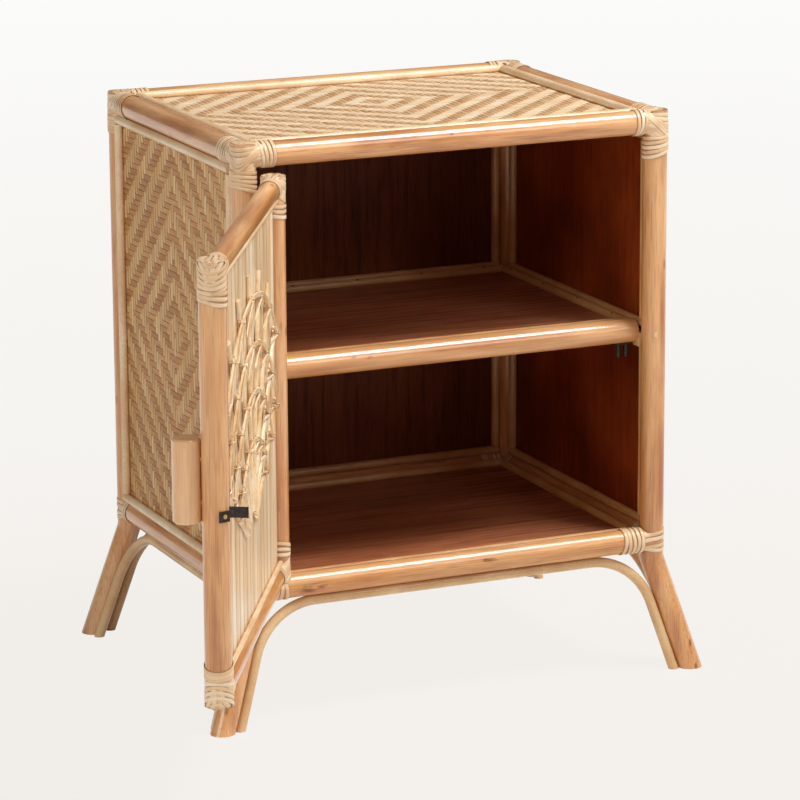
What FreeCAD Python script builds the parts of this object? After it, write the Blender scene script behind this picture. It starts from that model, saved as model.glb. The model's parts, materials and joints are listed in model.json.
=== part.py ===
import FreeCAD, Part
import math
import os

# Side table with a shelf and one door, built from bent cane poles, woven plywood panels, round-core
# beads and peel bindings. Millimetres. The origin is on the floor midway between the four legs,
# +X to the right of someone facing the door, +Y to the back, +Z up.

# ---------------------------------------------------------------- driving dimensions
# Pole frame
LEG_SPACING_X = 450.0       # between leg axes, side to side
LEG_SPACING_Y = 345.0       # between leg axes, front to back
TOP_RAIL_Z = 578.0          # axis height of the four top rails
BOTTOM_RAIL_Z = 139.0       # axis height of the four bottom rails
POLE_DIA = 25.0             # legs and rails
LEG_TOP_DROP = 0.5          # leg ends stay this far below the tops of the rails
KNEE_DROP = 19.0            # the legs bend outwards this far below the bottom rail axes
KNEE_RADIUS = 30.0
FOOT_SPLAY_X = 37.5         # how far each foot stands out from its post
FOOT_SPLAY_Y = 17.0

# Arched rods under the bottom rails
ARCH_DIA = 10.5
ARCH_RADIUS = 70.0

# Shelf
SHELF_RAIL_Z = 357.0
SHELF_RAIL_DIA = 25.0
SHELF_T = 4.0
SHELF_LIFT = 3.5            # top of the shelf above the axis of its rail
BEARER_W = 9.3
BEARER_H = 15.0
PLUG_DIA = 6.0
PLUG_DEPTH = 5.0
PLUG_INSET = 2.5            # from the leg axis towards the middle

# Panels
PLY_T = 3.5
WEAVE_T = 2.0
WEAVE_PRESS = 0.3           # how much thinner the weave is where its beads press on it
PANEL_SET = 5.5             # woven face outside the plane of the pole axes
BOTTOM_T = 4.0
BOTTOM_LIFT = 3.0           # top of the bottom panel above the rail axes

# Beads: round core with a flat that lies on the panel
BEAD_DIA = 9.0
BEAD_LIFT = 2.5             # bead axis above its flat

# Peel bindings round the corners
BIND_T = 1.2
BIND_CROWN = 0.6            # extra swell of the rounded corner
BIND_LAP = 0.1              # the wrap on the leg lies over those on the rails by this much
TOP_BIND_X = 38.0           # reach along the front and back rails, from the corner
TOP_BIND_Y = 42.0
TOP_BIND_DOWN = 37.0
BOTTOM_BIND_X = 39.0
BOTTOM_BIND_Y = 24.0
BOTTOM_BIND_HALF = 12.5     # half height of the collar on the leg

# Door
HINGE_STILE_DIA = 23.0
LATCH_STILE_DIA = 25.0
DOOR_RAIL_DIA = 20.0
HINGE_GAP = 3.0             # between the left post and the hinge stile
LATCH_GAP = 3.4             # between the latch stile and the right post
DOOR_END_GAP = 1.5          # between the door's bindings and the frame's
DOOR_BIND_STILE = 31.0
DOOR_BIND_RAIL = 30.0
DOOR_CAP_BEVEL = 2.0
DOOR_OPEN = 120.0           # degrees, as modelled
SLAT_W = 23.0               # wished width; the field is divided evenly
SLAT_T = 3.0
SLAT_EDGE_T = 2.0
GROOVE_DEPTH = 4.0
DOOR_BEAD_DIA = 5.0

# Fan ornament on both faces of the door
FAN_BASE = 84.6             # centre of the fan above the axis of the lower door rail
FAN_RIB_COUNT = 9
FAN_HALF_ANGLE = 60.0
FAN_RIB_R = 3.5
FAN_INNER = 30.0
FAN_OUTER = 255.0
FAN_SIDE_MARGIN = 16.0      # kept clear inside the stiles
FAN_ARC_STEP = 45.0
FAN_ARC_COUNT = 4
FAN_ARC_W = 4.0
FAN_ARC_T = 2.0

# Handle
HANDLE_DIA = 26.0
HANDLE_H = 77.0
HANDLE_ABOVE = 6.0          # centre of the handle above the shelf rail axis
HANDLE_BEVEL = 1.5
DOWEL_DIA = 6.0
DOWEL_SPREAD = 40.0
DOWEL_IN_STILE = 8.0
DOWEL_IN_HANDLE = 12.0

# Butt hinges
HINGE_H = 36.0
HINGE_INSET = 60.0          # hinge centre from the axis of the nearer door rail
HINGE_PROUD = 0.5           # hinge axis in front of the posts
LEAF_T = 1.1
LEAF_W = 19.0
LEAF_BACK = 0.3             # leaf face behind the hinge axis
KNUCKLE_COUNT = 5
KNUCKLE_DIA = 5.0
PIN_DIA = 2.4
PIN_HEAD_DIA = 3.8
PIN_HEAD_H = 0.8
LEAF_SCREW_SPREAD = 24.0

# Double-roller catch and its strike
ROLLER_DIA = 5.6
ROLLER_H = 11.0
ROLLER_SPACE = 3.0          # free space between the rollers
ROLLER_SETBACK = 0.7        # roller axes behind the axis of the shelf rail
ROLLER_PIN_DIA = 1.8
CATCH_PLATE_T = 1.2
CATCH_PLATE_HALF_W = 10.5
CATCH_PLATE_FRONT = 4.5     # plate ahead of the roller axes
ARM_T = 1.2
ARM_W = 5.0
ARM_LENGTH = 16.0
ARM_TAIL = 7.0
PIVOT_DIA = 2.2
FLANGE_LIP = 0.8            # how far pin ends stand out round their pins
FLANGE_T = 0.8
SPRING_T = 0.5
SPRING_H = 6.0
SPRING_SLACK = 0.65         # from each leg of the spring to the arm's tail
SPRING_POST_DIA = 2.6
STRIKE_T = 1.0
STRIKE_H = 10.0
STRIKE_SIDE = 5.8           # tongue beyond the axis of the latch stile
STRIKE_HEAD_DIA = 2.0
STRIKE_BASE_L = 12.0
STRIKE_BASE_DROP = 3.5
STRIKE_PAST_ROLLERS = 3.0

# Countersunk screws
SCREW_HEAD_DIA = 4.2
SCREW_HEAD_H = 0.9
SCREW_DIA = 2.4
SCREW_L = 9.0
SCREW_SIDE = 8.2            # catch screws from the middle of the catch

# Clearances
SEAT = 0.2                  # between a piece and what carries it
FIT = 0.3                   # end gap between two pieces that meet
WRAP = 0.15                 # between a binding and its poles
HOLE = 0.05                 # round a screw, a plug or a dowel
RUNNING = 0.05              # round a pin that something turns on
EDGE_CLEAR = 0.7            # panel edges outside the bindings
OVERRUN = 20.0              # stock left on below the floor before the feet are cut

# ---------------------------------------------------------------- derived places
V = FreeCAD.Vector
X = V(1, 0, 0)
Y = V(0, 1, 0)
Z = V(0, 0, 1)

HALF_X = LEG_SPACING_X / 2
HALF_Y = LEG_SPACING_Y / 2
POLE_R = POLE_DIA / 2
ARCH_R = ARCH_DIA / 2
BEAD_R = BEAD_DIA / 2
BIND_R = POLE_R + BIND_T
LEG_TOP_Z = TOP_RAIL_Z + POLE_R - LEG_TOP_DROP
KNEE_Z = BOTTOM_RAIL_Z - KNEE_DROP
SLOPE_X = FOOT_SPLAY_X / KNEE_Z
SLOPE_Y = FOOT_SPLAY_Y / KNEE_Z
ARCH_Z = BOTTOM_RAIL_Z - POLE_R - SEAT - ARCH_R
WALL_OUT = PANEL_SET - WEAVE_T - PLY_T          # inner face of the walls, from the pole axes
WOVEN_BEAD_OUT = PANEL_SET - WEAVE_PRESS + BEAD_LIFT    # beads on the weave, from the pole axes
PANEL_EDGE = BIND_R + EDGE_CLEAR                # panel edges, from the pole axes
BEAD_END = BIND_R + FIT                         # bead ends, from the axis of the pole they stop at
WALL_MID_Z = (TOP_RAIL_Z + BOTTOM_RAIL_Z) / 2
WALL_HALF_Z = (TOP_RAIL_Z - BOTTOM_RAIL_Z) / 2

SHELF_RAIL_R = SHELF_RAIL_DIA / 2
LATCH_R = LATCH_STILE_DIA / 2
HINGE_R = HINGE_STILE_DIA / 2
DOOR_RAIL_R = DOOR_RAIL_DIA / 2
SHELF_RAIL_Y = -HALF_Y + max(POLE_R, LATCH_R) + FIT + SHELF_RAIL_R
SHELF_TOP = SHELF_RAIL_Z + SHELF_LIFT
SHELF_UNDER = SHELF_TOP - SHELF_T
BEARER_TOP = SHELF_UNDER - SEAT
BEARER_LOW = BEARER_TOP - BEARER_H
BEARER_IN = HALF_X + WALL_OUT - FIT - BEARER_W  # inner face of the side bearers
STRIP_Z = SHELF_TOP + SEAT + BEAD_R             # wall beads just above the shelf
SHELF_BEAD_Z = SHELF_TOP + BEAD_LIFT
SHELF_BEAD_IN = BEAD_LIFT - WALL_OUT + math.sqrt((BEAD_DIA + SEAT) ** 2 - (STRIP_Z - SHELF_BEAD_Z) ** 2)

HINGE_X = -HALF_X + POLE_R + HINGE_GAP / 2
HINGE_Y = -HALF_Y - POLE_R - HINGE_PROUD
HINGE_STILE_X = -HALF_X + POLE_R + HINGE_GAP + HINGE_R
LATCH_STILE_X = HALF_X - POLE_R - LATCH_GAP - LATCH_R
DOOR_Y = -HALF_Y
DOOR_TOP_Z = TOP_RAIL_Z - BIND_R - DOOR_END_GAP - BIND_T - DOOR_RAIL_R
DOOR_LOW_Z = BOTTOM_RAIL_Z + BIND_R + DOOR_END_GAP + BIND_T + DOOR_RAIL_R
FIELD_LEFT = HINGE_STILE_X + HINGE_R + BIND_T + FIT
FIELD_RIGHT = LATCH_STILE_X - LATCH_R - BIND_T - FIT
FIELD_LOW = DOOR_LOW_Z + DOOR_RAIL_R - GROOVE_DEPTH
FIELD_HIGH = DOOR_TOP_Z - DOOR_RAIL_R + GROOVE_DEPTH

CATCH_X = LATCH_STILE_X + STRIKE_SIDE
ROLLER_Y = SHELF_RAIL_Y + ROLLER_SETBACK
PLATE_TOP = SHELF_RAIL_Z - SHELF_RAIL_R - SEAT
PLATE_LOW = PLATE_TOP - CATCH_PLATE_T
ARM_TOP = PLATE_LOW - SEAT
ARM_LOW = ARM_TOP - ARM_T
ROLLER_TOP = ARM_LOW - SEAT
ROLLER_LOW = ROLLER_TOP - ROLLER_H
STRIKE_Z = (ROLLER_TOP + ROLLER_LOW) / 2
ROLLER_SIDE = (ROLLER_SPACE + ROLLER_DIA) / 2
PIVOT_Y = ROLLER_Y + ARM_LENGTH

CORNERS = {"front_left": (-1, -1), "front_right": (1, -1), "back_left": (-1, 1), "back_right": (1, 1)}
SIDES = {"left": -1, "right": 1}
FAR = 2000.0
BELOW_FLOOR = Part.makeBox(FAR, FAR, FAR, V(-FAR / 2, -FAR / 2, -FAR))


# ---------------------------------------------------------------- shared shapes
def save(node, *solids):
    """One STEP file for one named node, which may hold several like solids."""
    shape = solids[0] if len(solids) == 1 else Part.makeCompound(solids)
    shape.exportStep("parts/%s.step" % node)


def cylinder(start, end, radius):
    return Part.makeCylinder(radius, (end - start).Length, start, end - start)


def block(low, high):
    size = high - low
    return Part.makeBox(size.x, size.y, size.z, low)


def tangent_path(points, bends):
    """Straight runs through the points, with a tangent arc at each inner point."""
    edges = []
    start = points[0]
    for before, corner, after, radius in zip(points, points[1:], points[2:], bends):
        into = (corner - before).normalize()
        out = (after - corner).normalize()
        half_turn = into.getAngle(out) / 2
        arc_start = corner - into * (radius * math.tan(half_turn))
        arc_end = corner + out * (radius * math.tan(half_turn))
        inward = (out - into).normalize()
        arc_middle = corner + inward * (radius / math.cos(half_turn) - radius)
        edges.append(Part.LineSegment(start, arc_start).toShape())
        edges.append(Part.Arc(arc_start, arc_middle, arc_end).toShape())
        start = arc_end
    edges.append(Part.LineSegment(start, points[-1]).toShape())
    return Part.Wire(edges)


def rod(points, radius, bends):
    """A round rod along straight runs joined by tangent bends."""
    section = Part.Face(Part.Wire(Part.makeCircle(radius, points[0], points[1] - points[0])))
    return tangent_path(points, bends).makePipe(section)


def bead(start, end, seat, radius=BEAD_R, lift=BEAD_LIFT):
    """A round core from start to end, planed flat on the side that faces the unit vector seat."""
    sideways = (end - start).normalize().cross(seat) * math.sqrt(radius ** 2 - lift ** 2)
    left = start + seat * lift - sideways
    right = start + seat * lift + sideways
    outline = Part.Wire([
        Part.Arc(left, start - seat * radius, right).toShape(),
        Part.LineSegment(right, left).toShape(),
    ])
    return Part.Face(outline).extrude(end - start)


def bead_reach(offset):
    """Bead axis to pole axis, seen along the panel, for a bead axis this far off the pole axes."""
    return math.sqrt((POLE_R + BEAD_R + SEAT) ** 2 - offset ** 2)


def bead_frame(centre, along, across, half_along, half_across, offset, seat):
    """Four beads round a panel: two run from pole to pole, two fit between them."""
    reach = bead_reach(offset)
    run = half_along - BEAD_END
    between = half_across - reach - BEAD_R - FIT
    beads = []
    for side in (-1, 1):
        long_middle = centre + across * (side * (half_across - reach))
        short_middle = centre + along * (side * (half_along - reach))
        beads.append(bead(long_middle - along * run, long_middle + along * run, seat))
        beads.append(bead(short_middle - across * between, short_middle + across * between, seat))
    return beads


def screw(point, into, grow=0.0):
    """A countersunk screw whose head is flush at point; grow makes the tool for its hole."""
    cone = Part.makeCone(SCREW_HEAD_DIA / 2 + grow, SCREW_DIA / 2 + grow, SCREW_HEAD_H, point, into)
    shank = cylinder(point + into * SCREW_HEAD_H, point + into * (SCREW_L + grow), SCREW_DIA / 2 + grow)
    return cone.fuse(shank).removeSplitter()


# ---------------------------------------------------------------- frame of poles
def leg_stock(sx, sy, radius, top):
    """One bent pole: an upright post with its foot splayed out, still too long at the floor."""
    knee = V(sx * HALF_X, sy * HALF_Y, KNEE_Z)
    down = V(sx * SLOPE_X, sy * SLOPE_Y, -1)
    return rod([V(knee.x, knee.y, top), knee, knee + down * (KNEE_Z + OVERRUN)], radius, [KNEE_RADIUS])


def x_pole(sy, z, radius):
    return cylinder(V(-HALF_X, sy * HALF_Y, z), V(HALF_X, sy * HALF_Y, z), radius)


def y_pole(sx, z, radius):
    return cylinder(V(sx * HALF_X, -HALF_Y, z), V(sx * HALF_X, HALF_Y, z), radius)


def make_rails(leg_tools):
    """Rails run from leg to leg; their ends are coped to the legs and to each other."""
    for level, z in (("top", TOP_RAIL_Z), ("bottom", BOTTOM_RAIL_Z)):
        cross_tools = [x_pole(sy, z, POLE_R + SEAT) for sy in (-1, 1)]
        for name, sy in (("front", -1), ("back", 1)):
            save("%s_rail_%s" % (level, name), x_pole(sy, z, POLE_R).cut(leg_tools))
        for name, sx in SIDES.items():
            save("%s_rail_%s" % (level, name), y_pole(sx, z, POLE_R).cut(leg_tools + cross_tools))


def plug(sx, grow=0.0):
    """The round plug over the nail that goes through a front leg into the end of a bearer."""
    start = V(sx * (HALF_X - PLUG_INSET), -HALF_Y - math.sqrt(POLE_R ** 2 - PLUG_INSET ** 2) - SEAT, 0)
    start.z = (BEARER_TOP + SHELF_TOP) / 2
    return cylinder(start, start + Y * (PLUG_DEPTH + grow), PLUG_DIA / 2 + grow)


def make_legs(screws):
    """Legs with level feet, bored for the plugs, mortised and bored for the hinges."""
    for name, (sx, sy) in CORNERS.items():
        leg = leg_stock(sx, sy, POLE_R, LEG_TOP_Z).cut(BELOW_FLOOR)
        if sy < 0:
            leg = leg.cut(plug(sx, HOLE))
        if (sx, sy) == (-1, -1):
            leg = leg.cut(leaf_mortises() + screws)
        save("leg_" + name, leg)


def arch(along, outward, half_along, half_out, slope_along, slope_out):
    """A bent rod under one rail; its ends follow the inner sides of two legs to the floor."""
    lean = slope_along ** 2 / (1 + SLOPE_X ** 2 + SLOPE_Y ** 2)
    beside_leg = (POLE_R + ARCH_R + SEAT) / math.sqrt(1 - lean)
    corner_reach = half_along - beside_leg + slope_along * (KNEE_Z - ARCH_Z)
    drop = ARCH_Z + OVERRUN
    top = outward * half_out + Z * ARCH_Z
    foot = outward * (half_out + slope_out * drop) - Z * OVERRUN
    foot_reach = corner_reach + slope_along * drop
    points = [
        foot - along * foot_reach,
        top - along * corner_reach,
        top + along * corner_reach,
        foot + along * foot_reach,
    ]
    return rod(points, ARCH_R, [ARCH_RADIUS, ARCH_RADIUS]).cut(BELOW_FLOOR)


def make_arches():
    for name, side in (("front", -1), ("back", 1)):
        save("arch_" + name, arch(X, Y * side, HALF_X, HALF_Y, SLOPE_X, SLOPE_Y))
    for name, side in SIDES.items():
        save("arch_" + name, arch(Y, X * side, HALF_Y, HALF_X, SLOPE_Y, SLOPE_X))


# ---------------------------------------------------------------- corner bindings
def with_half_turn(shape):
    """The shape of a back corner, and the same turned to the front corner across from it."""
    across = shape.copy()
    across.rotate(V(0, 0, 0), Z, 180)
    return [shape, across]


def corner_sleeves(sx, z, reach_x, reach_y, low, high, grow):
    """Outer shapes of the wraps along two rails and a back leg that meet at height z."""
    corner = V(sx * HALF_X, HALF_Y, z)
    slab = block(V(-FAR / 2, -FAR / 2, low - grow), V(FAR / 2, FAR / 2, high + grow))
    return [
        cylinder(corner, corner - X * (sx * (reach_x + grow)), BIND_R + grow),
        cylinder(corner, corner - Y * (reach_y + grow), BIND_R - BIND_LAP + grow),
        leg_stock(sx, 1, BIND_R + BIND_LAP + grow, high + OVERRUN).common(slab),
    ]


def top_sleeves(sx, grow=0.0):
    low = TOP_RAIL_Z - TOP_BIND_DOWN
    return corner_sleeves(sx, TOP_RAIL_Z, TOP_BIND_X, TOP_BIND_Y, low, TOP_RAIL_Z, grow)


def bottom_sleeves(sx, grow=0.0):
    low = BOTTOM_RAIL_Z - BOTTOM_BIND_HALF
    high = BOTTOM_RAIL_Z + BOTTOM_BIND_HALF
    return corner_sleeves(sx, BOTTOM_RAIL_Z, BOTTOM_BIND_X, BOTTOM_BIND_Y, low, high, grow)


def corner_poles(sx, z):
    """The three poles inside a binding, with the room that the wrap leaves round them."""
    radius = POLE_R + WRAP
    return [x_pole(1, z, radius), y_pole(sx, z, radius), leg_stock(sx, 1, radius, LEG_TOP_Z + WRAP)]


def make_bindings():
    top = []
    bottom = []
    for sx in SIDES.values():
        crown = Part.makeSphere(BIND_R + BIND_CROWN, V(sx * HALF_X, HALF_Y, TOP_RAIL_Z))
        top += with_half_turn(crown.fuse(top_sleeves(sx)).cut(corner_poles(sx, TOP_RAIL_Z)))
        first, *others = bottom_sleeves(sx)
        bottom += with_half_turn(first.fuse(others).cut(corner_poles(sx, BOTTOM_RAIL_Z)))
    save("top_bindings", *top)
    save("bottom_bindings", *bottom)


def all_sleeves():
    """Every corner wrap of the frame, grown, to notch the beads that run into them."""
    tools = []
    for sx in SIDES.values():
        for sleeve in top_sleeves(sx, FIT / 2) + bottom_sleeves(sx, FIT / 2):
            tools += with_half_turn(sleeve)
    return tools


# ---------------------------------------------------------------- panels
def woven_sheet(low, high, outward):
    """A woven sheet that stands a little proud inside the rim that its beads press down."""
    rim_width = bead_reach(WOVEN_BEAD_OUT) + BEAD_R + SEAT - PANEL_EDGE
    inset = (V(1, 1, 1) - outward) * rim_width
    sheet = block(low, high - outward * WEAVE_PRESS)
    return sheet.fuse(block(low + inset, high - inset)).removeSplitter()


def make_panels():
    half_x = HALF_X - PANEL_EDGE
    half_y = HALF_Y - PANEL_EDGE
    low = BOTTOM_RAIL_Z + PANEL_EDGE
    high = TOP_RAIL_Z - PANEL_EDGE
    ply_z = TOP_RAIL_Z + WALL_OUT
    weave_z = ply_z + PLY_T
    save("top_panel", block(V(-half_x, -half_y, ply_z), V(half_x, half_y, weave_z)))
    save("top_weave", woven_sheet(V(-half_x, -half_y, weave_z), V(half_x, half_y, weave_z + WEAVE_T), Z))
    wall_x = HALF_X + WALL_OUT
    for name, sx in SIDES.items():
        ply = block(V(wall_x, -half_y, low), V(wall_x + PLY_T, half_y, high))
        weave_x = wall_x + PLY_T
        weave = woven_sheet(V(weave_x, -half_y, low), V(weave_x + WEAVE_T, half_y, high), X)
        if sx < 0:
            ply = ply.mirror(V(0, 0, 0), X)
            weave = weave.mirror(V(0, 0, 0), X)
        save("side_panel_" + name, ply)
        save("side_weave_" + name, weave)
    wall_y = HALF_Y + WALL_OUT
    save("back_panel", block(V(-half_x, wall_y, low), V(half_x, wall_y + PLY_T, high)))
    floor_z = BOTTOM_RAIL_Z + BOTTOM_LIFT
    save("bottom_panel", block(V(-half_x, -half_y, floor_z - BOTTOM_T), V(half_x, half_y, floor_z)))


def make_shelf(catch_screws):
    """Shelf board on bearers, butted behind the shelf rail and notched round the back posts."""
    rail_half = BEARER_IN - SEAT
    rail_ends = [V(side * rail_half, SHELF_RAIL_Y, SHELF_RAIL_Z) for side in (-1, 1)]
    save("shelf_rail", cylinder(*rail_ends, SHELF_RAIL_R).cut(catch_screws))

    half_x = HALF_X + WALL_OUT - FIT
    front = SHELF_RAIL_Y + SHELF_RAIL_R + SEAT
    back = HALF_Y + WALL_OUT - FIT
    board = block(V(-half_x, front, SHELF_UNDER), V(half_x, back, SHELF_TOP))
    posts = [leg_stock(sx, 1, POLE_R + FIT, LEG_TOP_Z) for sx in (-1, 1)]
    save("shelf_panel", board.cut(posts))

    bearers = []
    side_half = HALF_Y - POLE_R - FIT
    for side in (-1, 1):
        inner = side * BEARER_IN
        outer = side * (BEARER_IN + BEARER_W)
        low = V(min(inner, outer), -side_half, BEARER_LOW)
        bearers.append(block(low, V(max(inner, outer), side_half, BEARER_TOP)))
    back_half = HALF_X - POLE_R - FIT
    bearers.append(block(V(-back_half, back - BEARER_W, BEARER_LOW), V(back_half, back, BEARER_TOP)))
    save("shelf_bearers", *bearers)


# ---------------------------------------------------------------- beads
def wall_beads(outward, along, half_out, half_along):
    """Beads inside one wall: three level ones, and two uprights above and two below the shelf."""
    inside = WALL_OUT - BEAD_LIFT
    reach = bead_reach(inside)
    face = outward * (half_out + inside)
    run = along * (half_along - BEAD_END)
    low = BOTTOM_RAIL_Z + reach
    high = TOP_RAIL_Z - reach
    beads = [bead(face - run + Z * z, face + run + Z * z, outward) for z in (low, STRIP_Z, high)]
    spans = ((low + BEAD_R + FIT, BEARER_LOW - FIT), (STRIP_Z + BEAD_R + FIT, high - BEAD_R - FIT))
    for side in (-1, 1):
        foot = face + along * (side * (half_along - reach))
        beads += [bead(foot + Z * start, foot + Z * end, outward) for start, end in spans]
    return beads


def make_beads():
    sleeves = all_sleeves()

    def save_notched(node, beads):
        save(node, *Part.makeCompound(beads).cut(sleeves).Solids)

    outer = WOVEN_BEAD_OUT
    inner = WALL_OUT - BEAD_LIFT
    top = bead_frame(Z * (TOP_RAIL_Z + outer), X, Y, HALF_X, HALF_Y, outer, -Z)
    ceiling = bead_frame(Z * (TOP_RAIL_Z + inner), X, Y, HALF_X, HALF_Y, inner, Z)
    save_notched("top_beads", top + ceiling)

    middle = Z * WALL_MID_Z
    for name, sx in SIDES.items():
        centre = X * (sx * (HALF_X + outer)) + middle
        save_notched("side_beads_" + name, bead_frame(centre, Y, Z, HALF_Y, WALL_HALF_Z, outer, X * -sx))
    back = WALL_OUT + PLY_T + BEAD_LIFT
    save_notched("back_beads", bead_frame(Y * (HALF_Y + back) + middle, X, Z, HALF_X, WALL_HALF_Z, back, -Y))

    walls = wall_beads(Y, X, HALF_Y, HALF_X)
    for sx in (-1, 1):
        walls += wall_beads(X * sx, Y, HALF_X, HALF_Y)
    save_notched("inner_beads", walls)

    above = BOTTOM_LIFT + BEAD_LIFT
    below = BOTTOM_LIFT - BOTTOM_T - BEAD_LIFT
    floor = bead_frame(Z * (BOTTOM_RAIL_Z + above), X, Y, HALF_X, HALF_Y, above, -Z)
    under = bead_frame(Z * (BOTTOM_RAIL_Z + below), X, Y, HALF_X, HALF_Y, below, Z)
    save_notched("bottom_beads", floor + under)
    save("shelf_beads", *shelf_beads())


def shelf_beads():
    """Beads on the shelf: one behind its rail and one beside each wall bead."""
    rail_offset = SHELF_LIFT + BEAD_LIFT
    front_y = SHELF_RAIL_Y + math.sqrt((SHELF_RAIL_R + BEAD_R + SEAT) ** 2 - rail_offset ** 2)
    front_half = HALF_X + WALL_OUT - BEAD_LIFT - BEAD_R - FIT
    back_y = HALF_Y - SHELF_BEAD_IN
    back_half = HALF_X - POLE_R - FIT
    side_x = HALF_X - SHELF_BEAD_IN
    side_start = front_y + BEAD_R + FIT
    side_end = back_y - BEAD_R - FIT
    spans = [
        (V(-front_half, front_y, 0), V(front_half, front_y, 0)),
        (V(-back_half, back_y, 0), V(back_half, back_y, 0)),
        (V(-side_x, side_start, 0), V(-side_x, side_end, 0)),
        (V(side_x, side_start, 0), V(side_x, side_end, 0)),
    ]
    lift = Z * SHELF_BEAD_Z
    return [bead(start + lift, end + lift, -Z) for start, end in spans]


# ---------------------------------------------------------------- hinges
HINGE_CENTRES = (DOOR_LOW_Z + HINGE_INSET, DOOR_TOP_Z - HINGE_INSET)
LEAF_FACE_Y = HINGE_Y + LEAF_BACK


def leaf_screws(screw_x, grow=0.0):
    """Screws through the leaves on one side of both hinges."""
    screws = []
    for centre in HINGE_CENTRES:
        for side in (-1, 1):
            point = V(screw_x, LEAF_FACE_Y, centre + side * LEAF_SCREW_SPREAD / 2)
            screws.append(screw(point, Y, grow))
    return screws


def leaf_mortises():
    """Shallow flats in the front of the left front leg, so that the leaves bed on the pole."""
    tools = []
    for centre in HINGE_CENTRES:
        half = HINGE_H / 2 + SEAT
        low = V(HINGE_X - LEAF_W - SEAT, HINGE_Y - POLE_R, centre - half)
        tools.append(block(low, V(HINGE_X, LEAF_FACE_Y + LEAF_T + HOLE, centre + half)))
    return tools


def hinge_leaf(side, centre, screws):
    """One leaf with every second knuckle; side -1 is the leaf on the post, +1 the one on the door."""
    low = centre - HINGE_H / 2
    edge = HINGE_X + side * LEAF_W
    leaf = block(
        V(min(edge, HINGE_X), LEAF_FACE_Y, low),
        V(max(edge, HINGE_X), LEAF_FACE_Y + LEAF_T, low + HINGE_H),
    )
    knuckle_h = HINGE_H / KNUCKLE_COUNT
    own = 0 if side < 0 else 1
    tools = list(screws)
    for number in range(KNUCKLE_COUNT):
        start = V(HINGE_X, HINGE_Y, low + number * knuckle_h)
        if number % 2 == own:
            start.z += SEAT / 2
            leaf = leaf.fuse(cylinder(start, start + Z * (knuckle_h - SEAT), KNUCKLE_DIA / 2))
        else:
            start.z -= SEAT / 2
            tools.append(cylinder(start, start + Z * (knuckle_h + SEAT), KNUCKLE_DIA / 2 + SEAT))
    tools.append(cylinder(V(HINGE_X, HINGE_Y, low - FIT), V(HINGE_X, HINGE_Y, low + HINGE_H + FIT),
                          PIN_DIA / 2 + RUNNING))
    return leaf.cut(tools)


def hinge_pin(centre):
    top = V(HINGE_X, HINGE_Y, centre + HINGE_H / 2)
    shaft = cylinder(top - Z * HINGE_H, top, PIN_DIA / 2)
    return shaft.fuse(cylinder(top, top + Z * PIN_HEAD_H, PIN_HEAD_DIA / 2))


# ---------------------------------------------------------------- catch under the shelf rail
def catch_screws(grow=0.0):
    places = [V(CATCH_X + side * SCREW_SIDE, SHELF_RAIL_Y, PLATE_LOW) for side in (-1, 1)]
    return [screw(place, Z, grow) for place in places]


def headed_pin(top, length, diameter):
    """A pin that hangs from top and ends in a flange."""
    foot = top - Z * length
    shaft = cylinder(top, foot, diameter / 2)
    return shaft.fuse(cylinder(foot, foot - Z * FLANGE_T, diameter / 2 + FLANGE_LIP))


def make_catch():
    """Plate with pivots, two arms with rollers, and a bent flat spring between their tails."""
    spring_y = PIVOT_Y + ARM_TAIL
    plate = block(
        V(CATCH_X - CATCH_PLATE_HALF_W, ROLLER_Y - CATCH_PLATE_FRONT, PLATE_LOW),
        V(CATCH_X + CATCH_PLATE_HALF_W, spring_y + SPRING_POST_DIA, PLATE_TOP),
    )
    pivot_drop = SEAT + ARM_T + SEAT
    for side in (-1, 1):
        pivot_top = V(CATCH_X + side * ROLLER_SIDE, PIVOT_Y, PLATE_LOW)
        plate = plate.fuse(headed_pin(pivot_top, pivot_drop, PIVOT_DIA))
    post_top = V(CATCH_X, spring_y, PLATE_LOW)
    post_drop = SEAT + SPRING_H
    plate = plate.fuse(cylinder(post_top, post_top - Z * post_drop, SPRING_POST_DIA / 2))
    save("catch_body", plate.cut(catch_screws(HOLE)))
    save("catch_spring", catch_spring(spring_y))
    for name, side in SIDES.items():
        save("catch_arm_" + name, catch_arm(side))
        axis = V(CATCH_X + side * ROLLER_SIDE, ROLLER_Y, ROLLER_LOW)
        bore = cylinder(axis, axis + Z * ROLLER_H, ROLLER_PIN_DIA / 2 + RUNNING)
        save("catch_roller_" + name, cylinder(axis, axis + Z * ROLLER_H, ROLLER_DIA / 2).cut(bore))


def catch_arm(side):
    """A flat arm from its pivot to its roller pin, with a tail behind the pivot."""
    pivot = V(CATCH_X + side * ROLLER_SIDE, PIVOT_Y, ARM_LOW)
    nose = V(pivot.x, ROLLER_Y, ARM_LOW)
    half_w = V(ARM_W / 2, 0, 0)
    shape = cylinder(pivot, pivot + Z * ARM_T, ARM_W / 2)
    shape = shape.fuse(cylinder(nose, nose + Z * ARM_T, ARM_W / 2))
    shape = shape.fuse(block(nose - half_w, pivot + half_w + Z * ARM_T))
    tail_in = ROLLER_SIDE - PIVOT_DIA / 2 - RUNNING
    tail_out = ROLLER_SIDE + ARM_W / 2
    ends = sorted((side * tail_in, side * tail_out))
    tail_low = V(CATCH_X + ends[0], PIVOT_Y, ARM_LOW)
    shape = shape.fuse(block(tail_low, V(CATCH_X + ends[1], PIVOT_Y + ARM_TAIL, ARM_TOP)))
    shape = shape.fuse(headed_pin(nose + Z * (ARM_T / 2), ARM_T / 2 + ROLLER_H + 2 * SEAT, ROLLER_PIN_DIA))
    bore = cylinder(pivot - Z, pivot + Z * (ARM_T + 1), PIVOT_DIA / 2 + RUNNING)
    return shape.cut(bore).removeSplitter()


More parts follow.
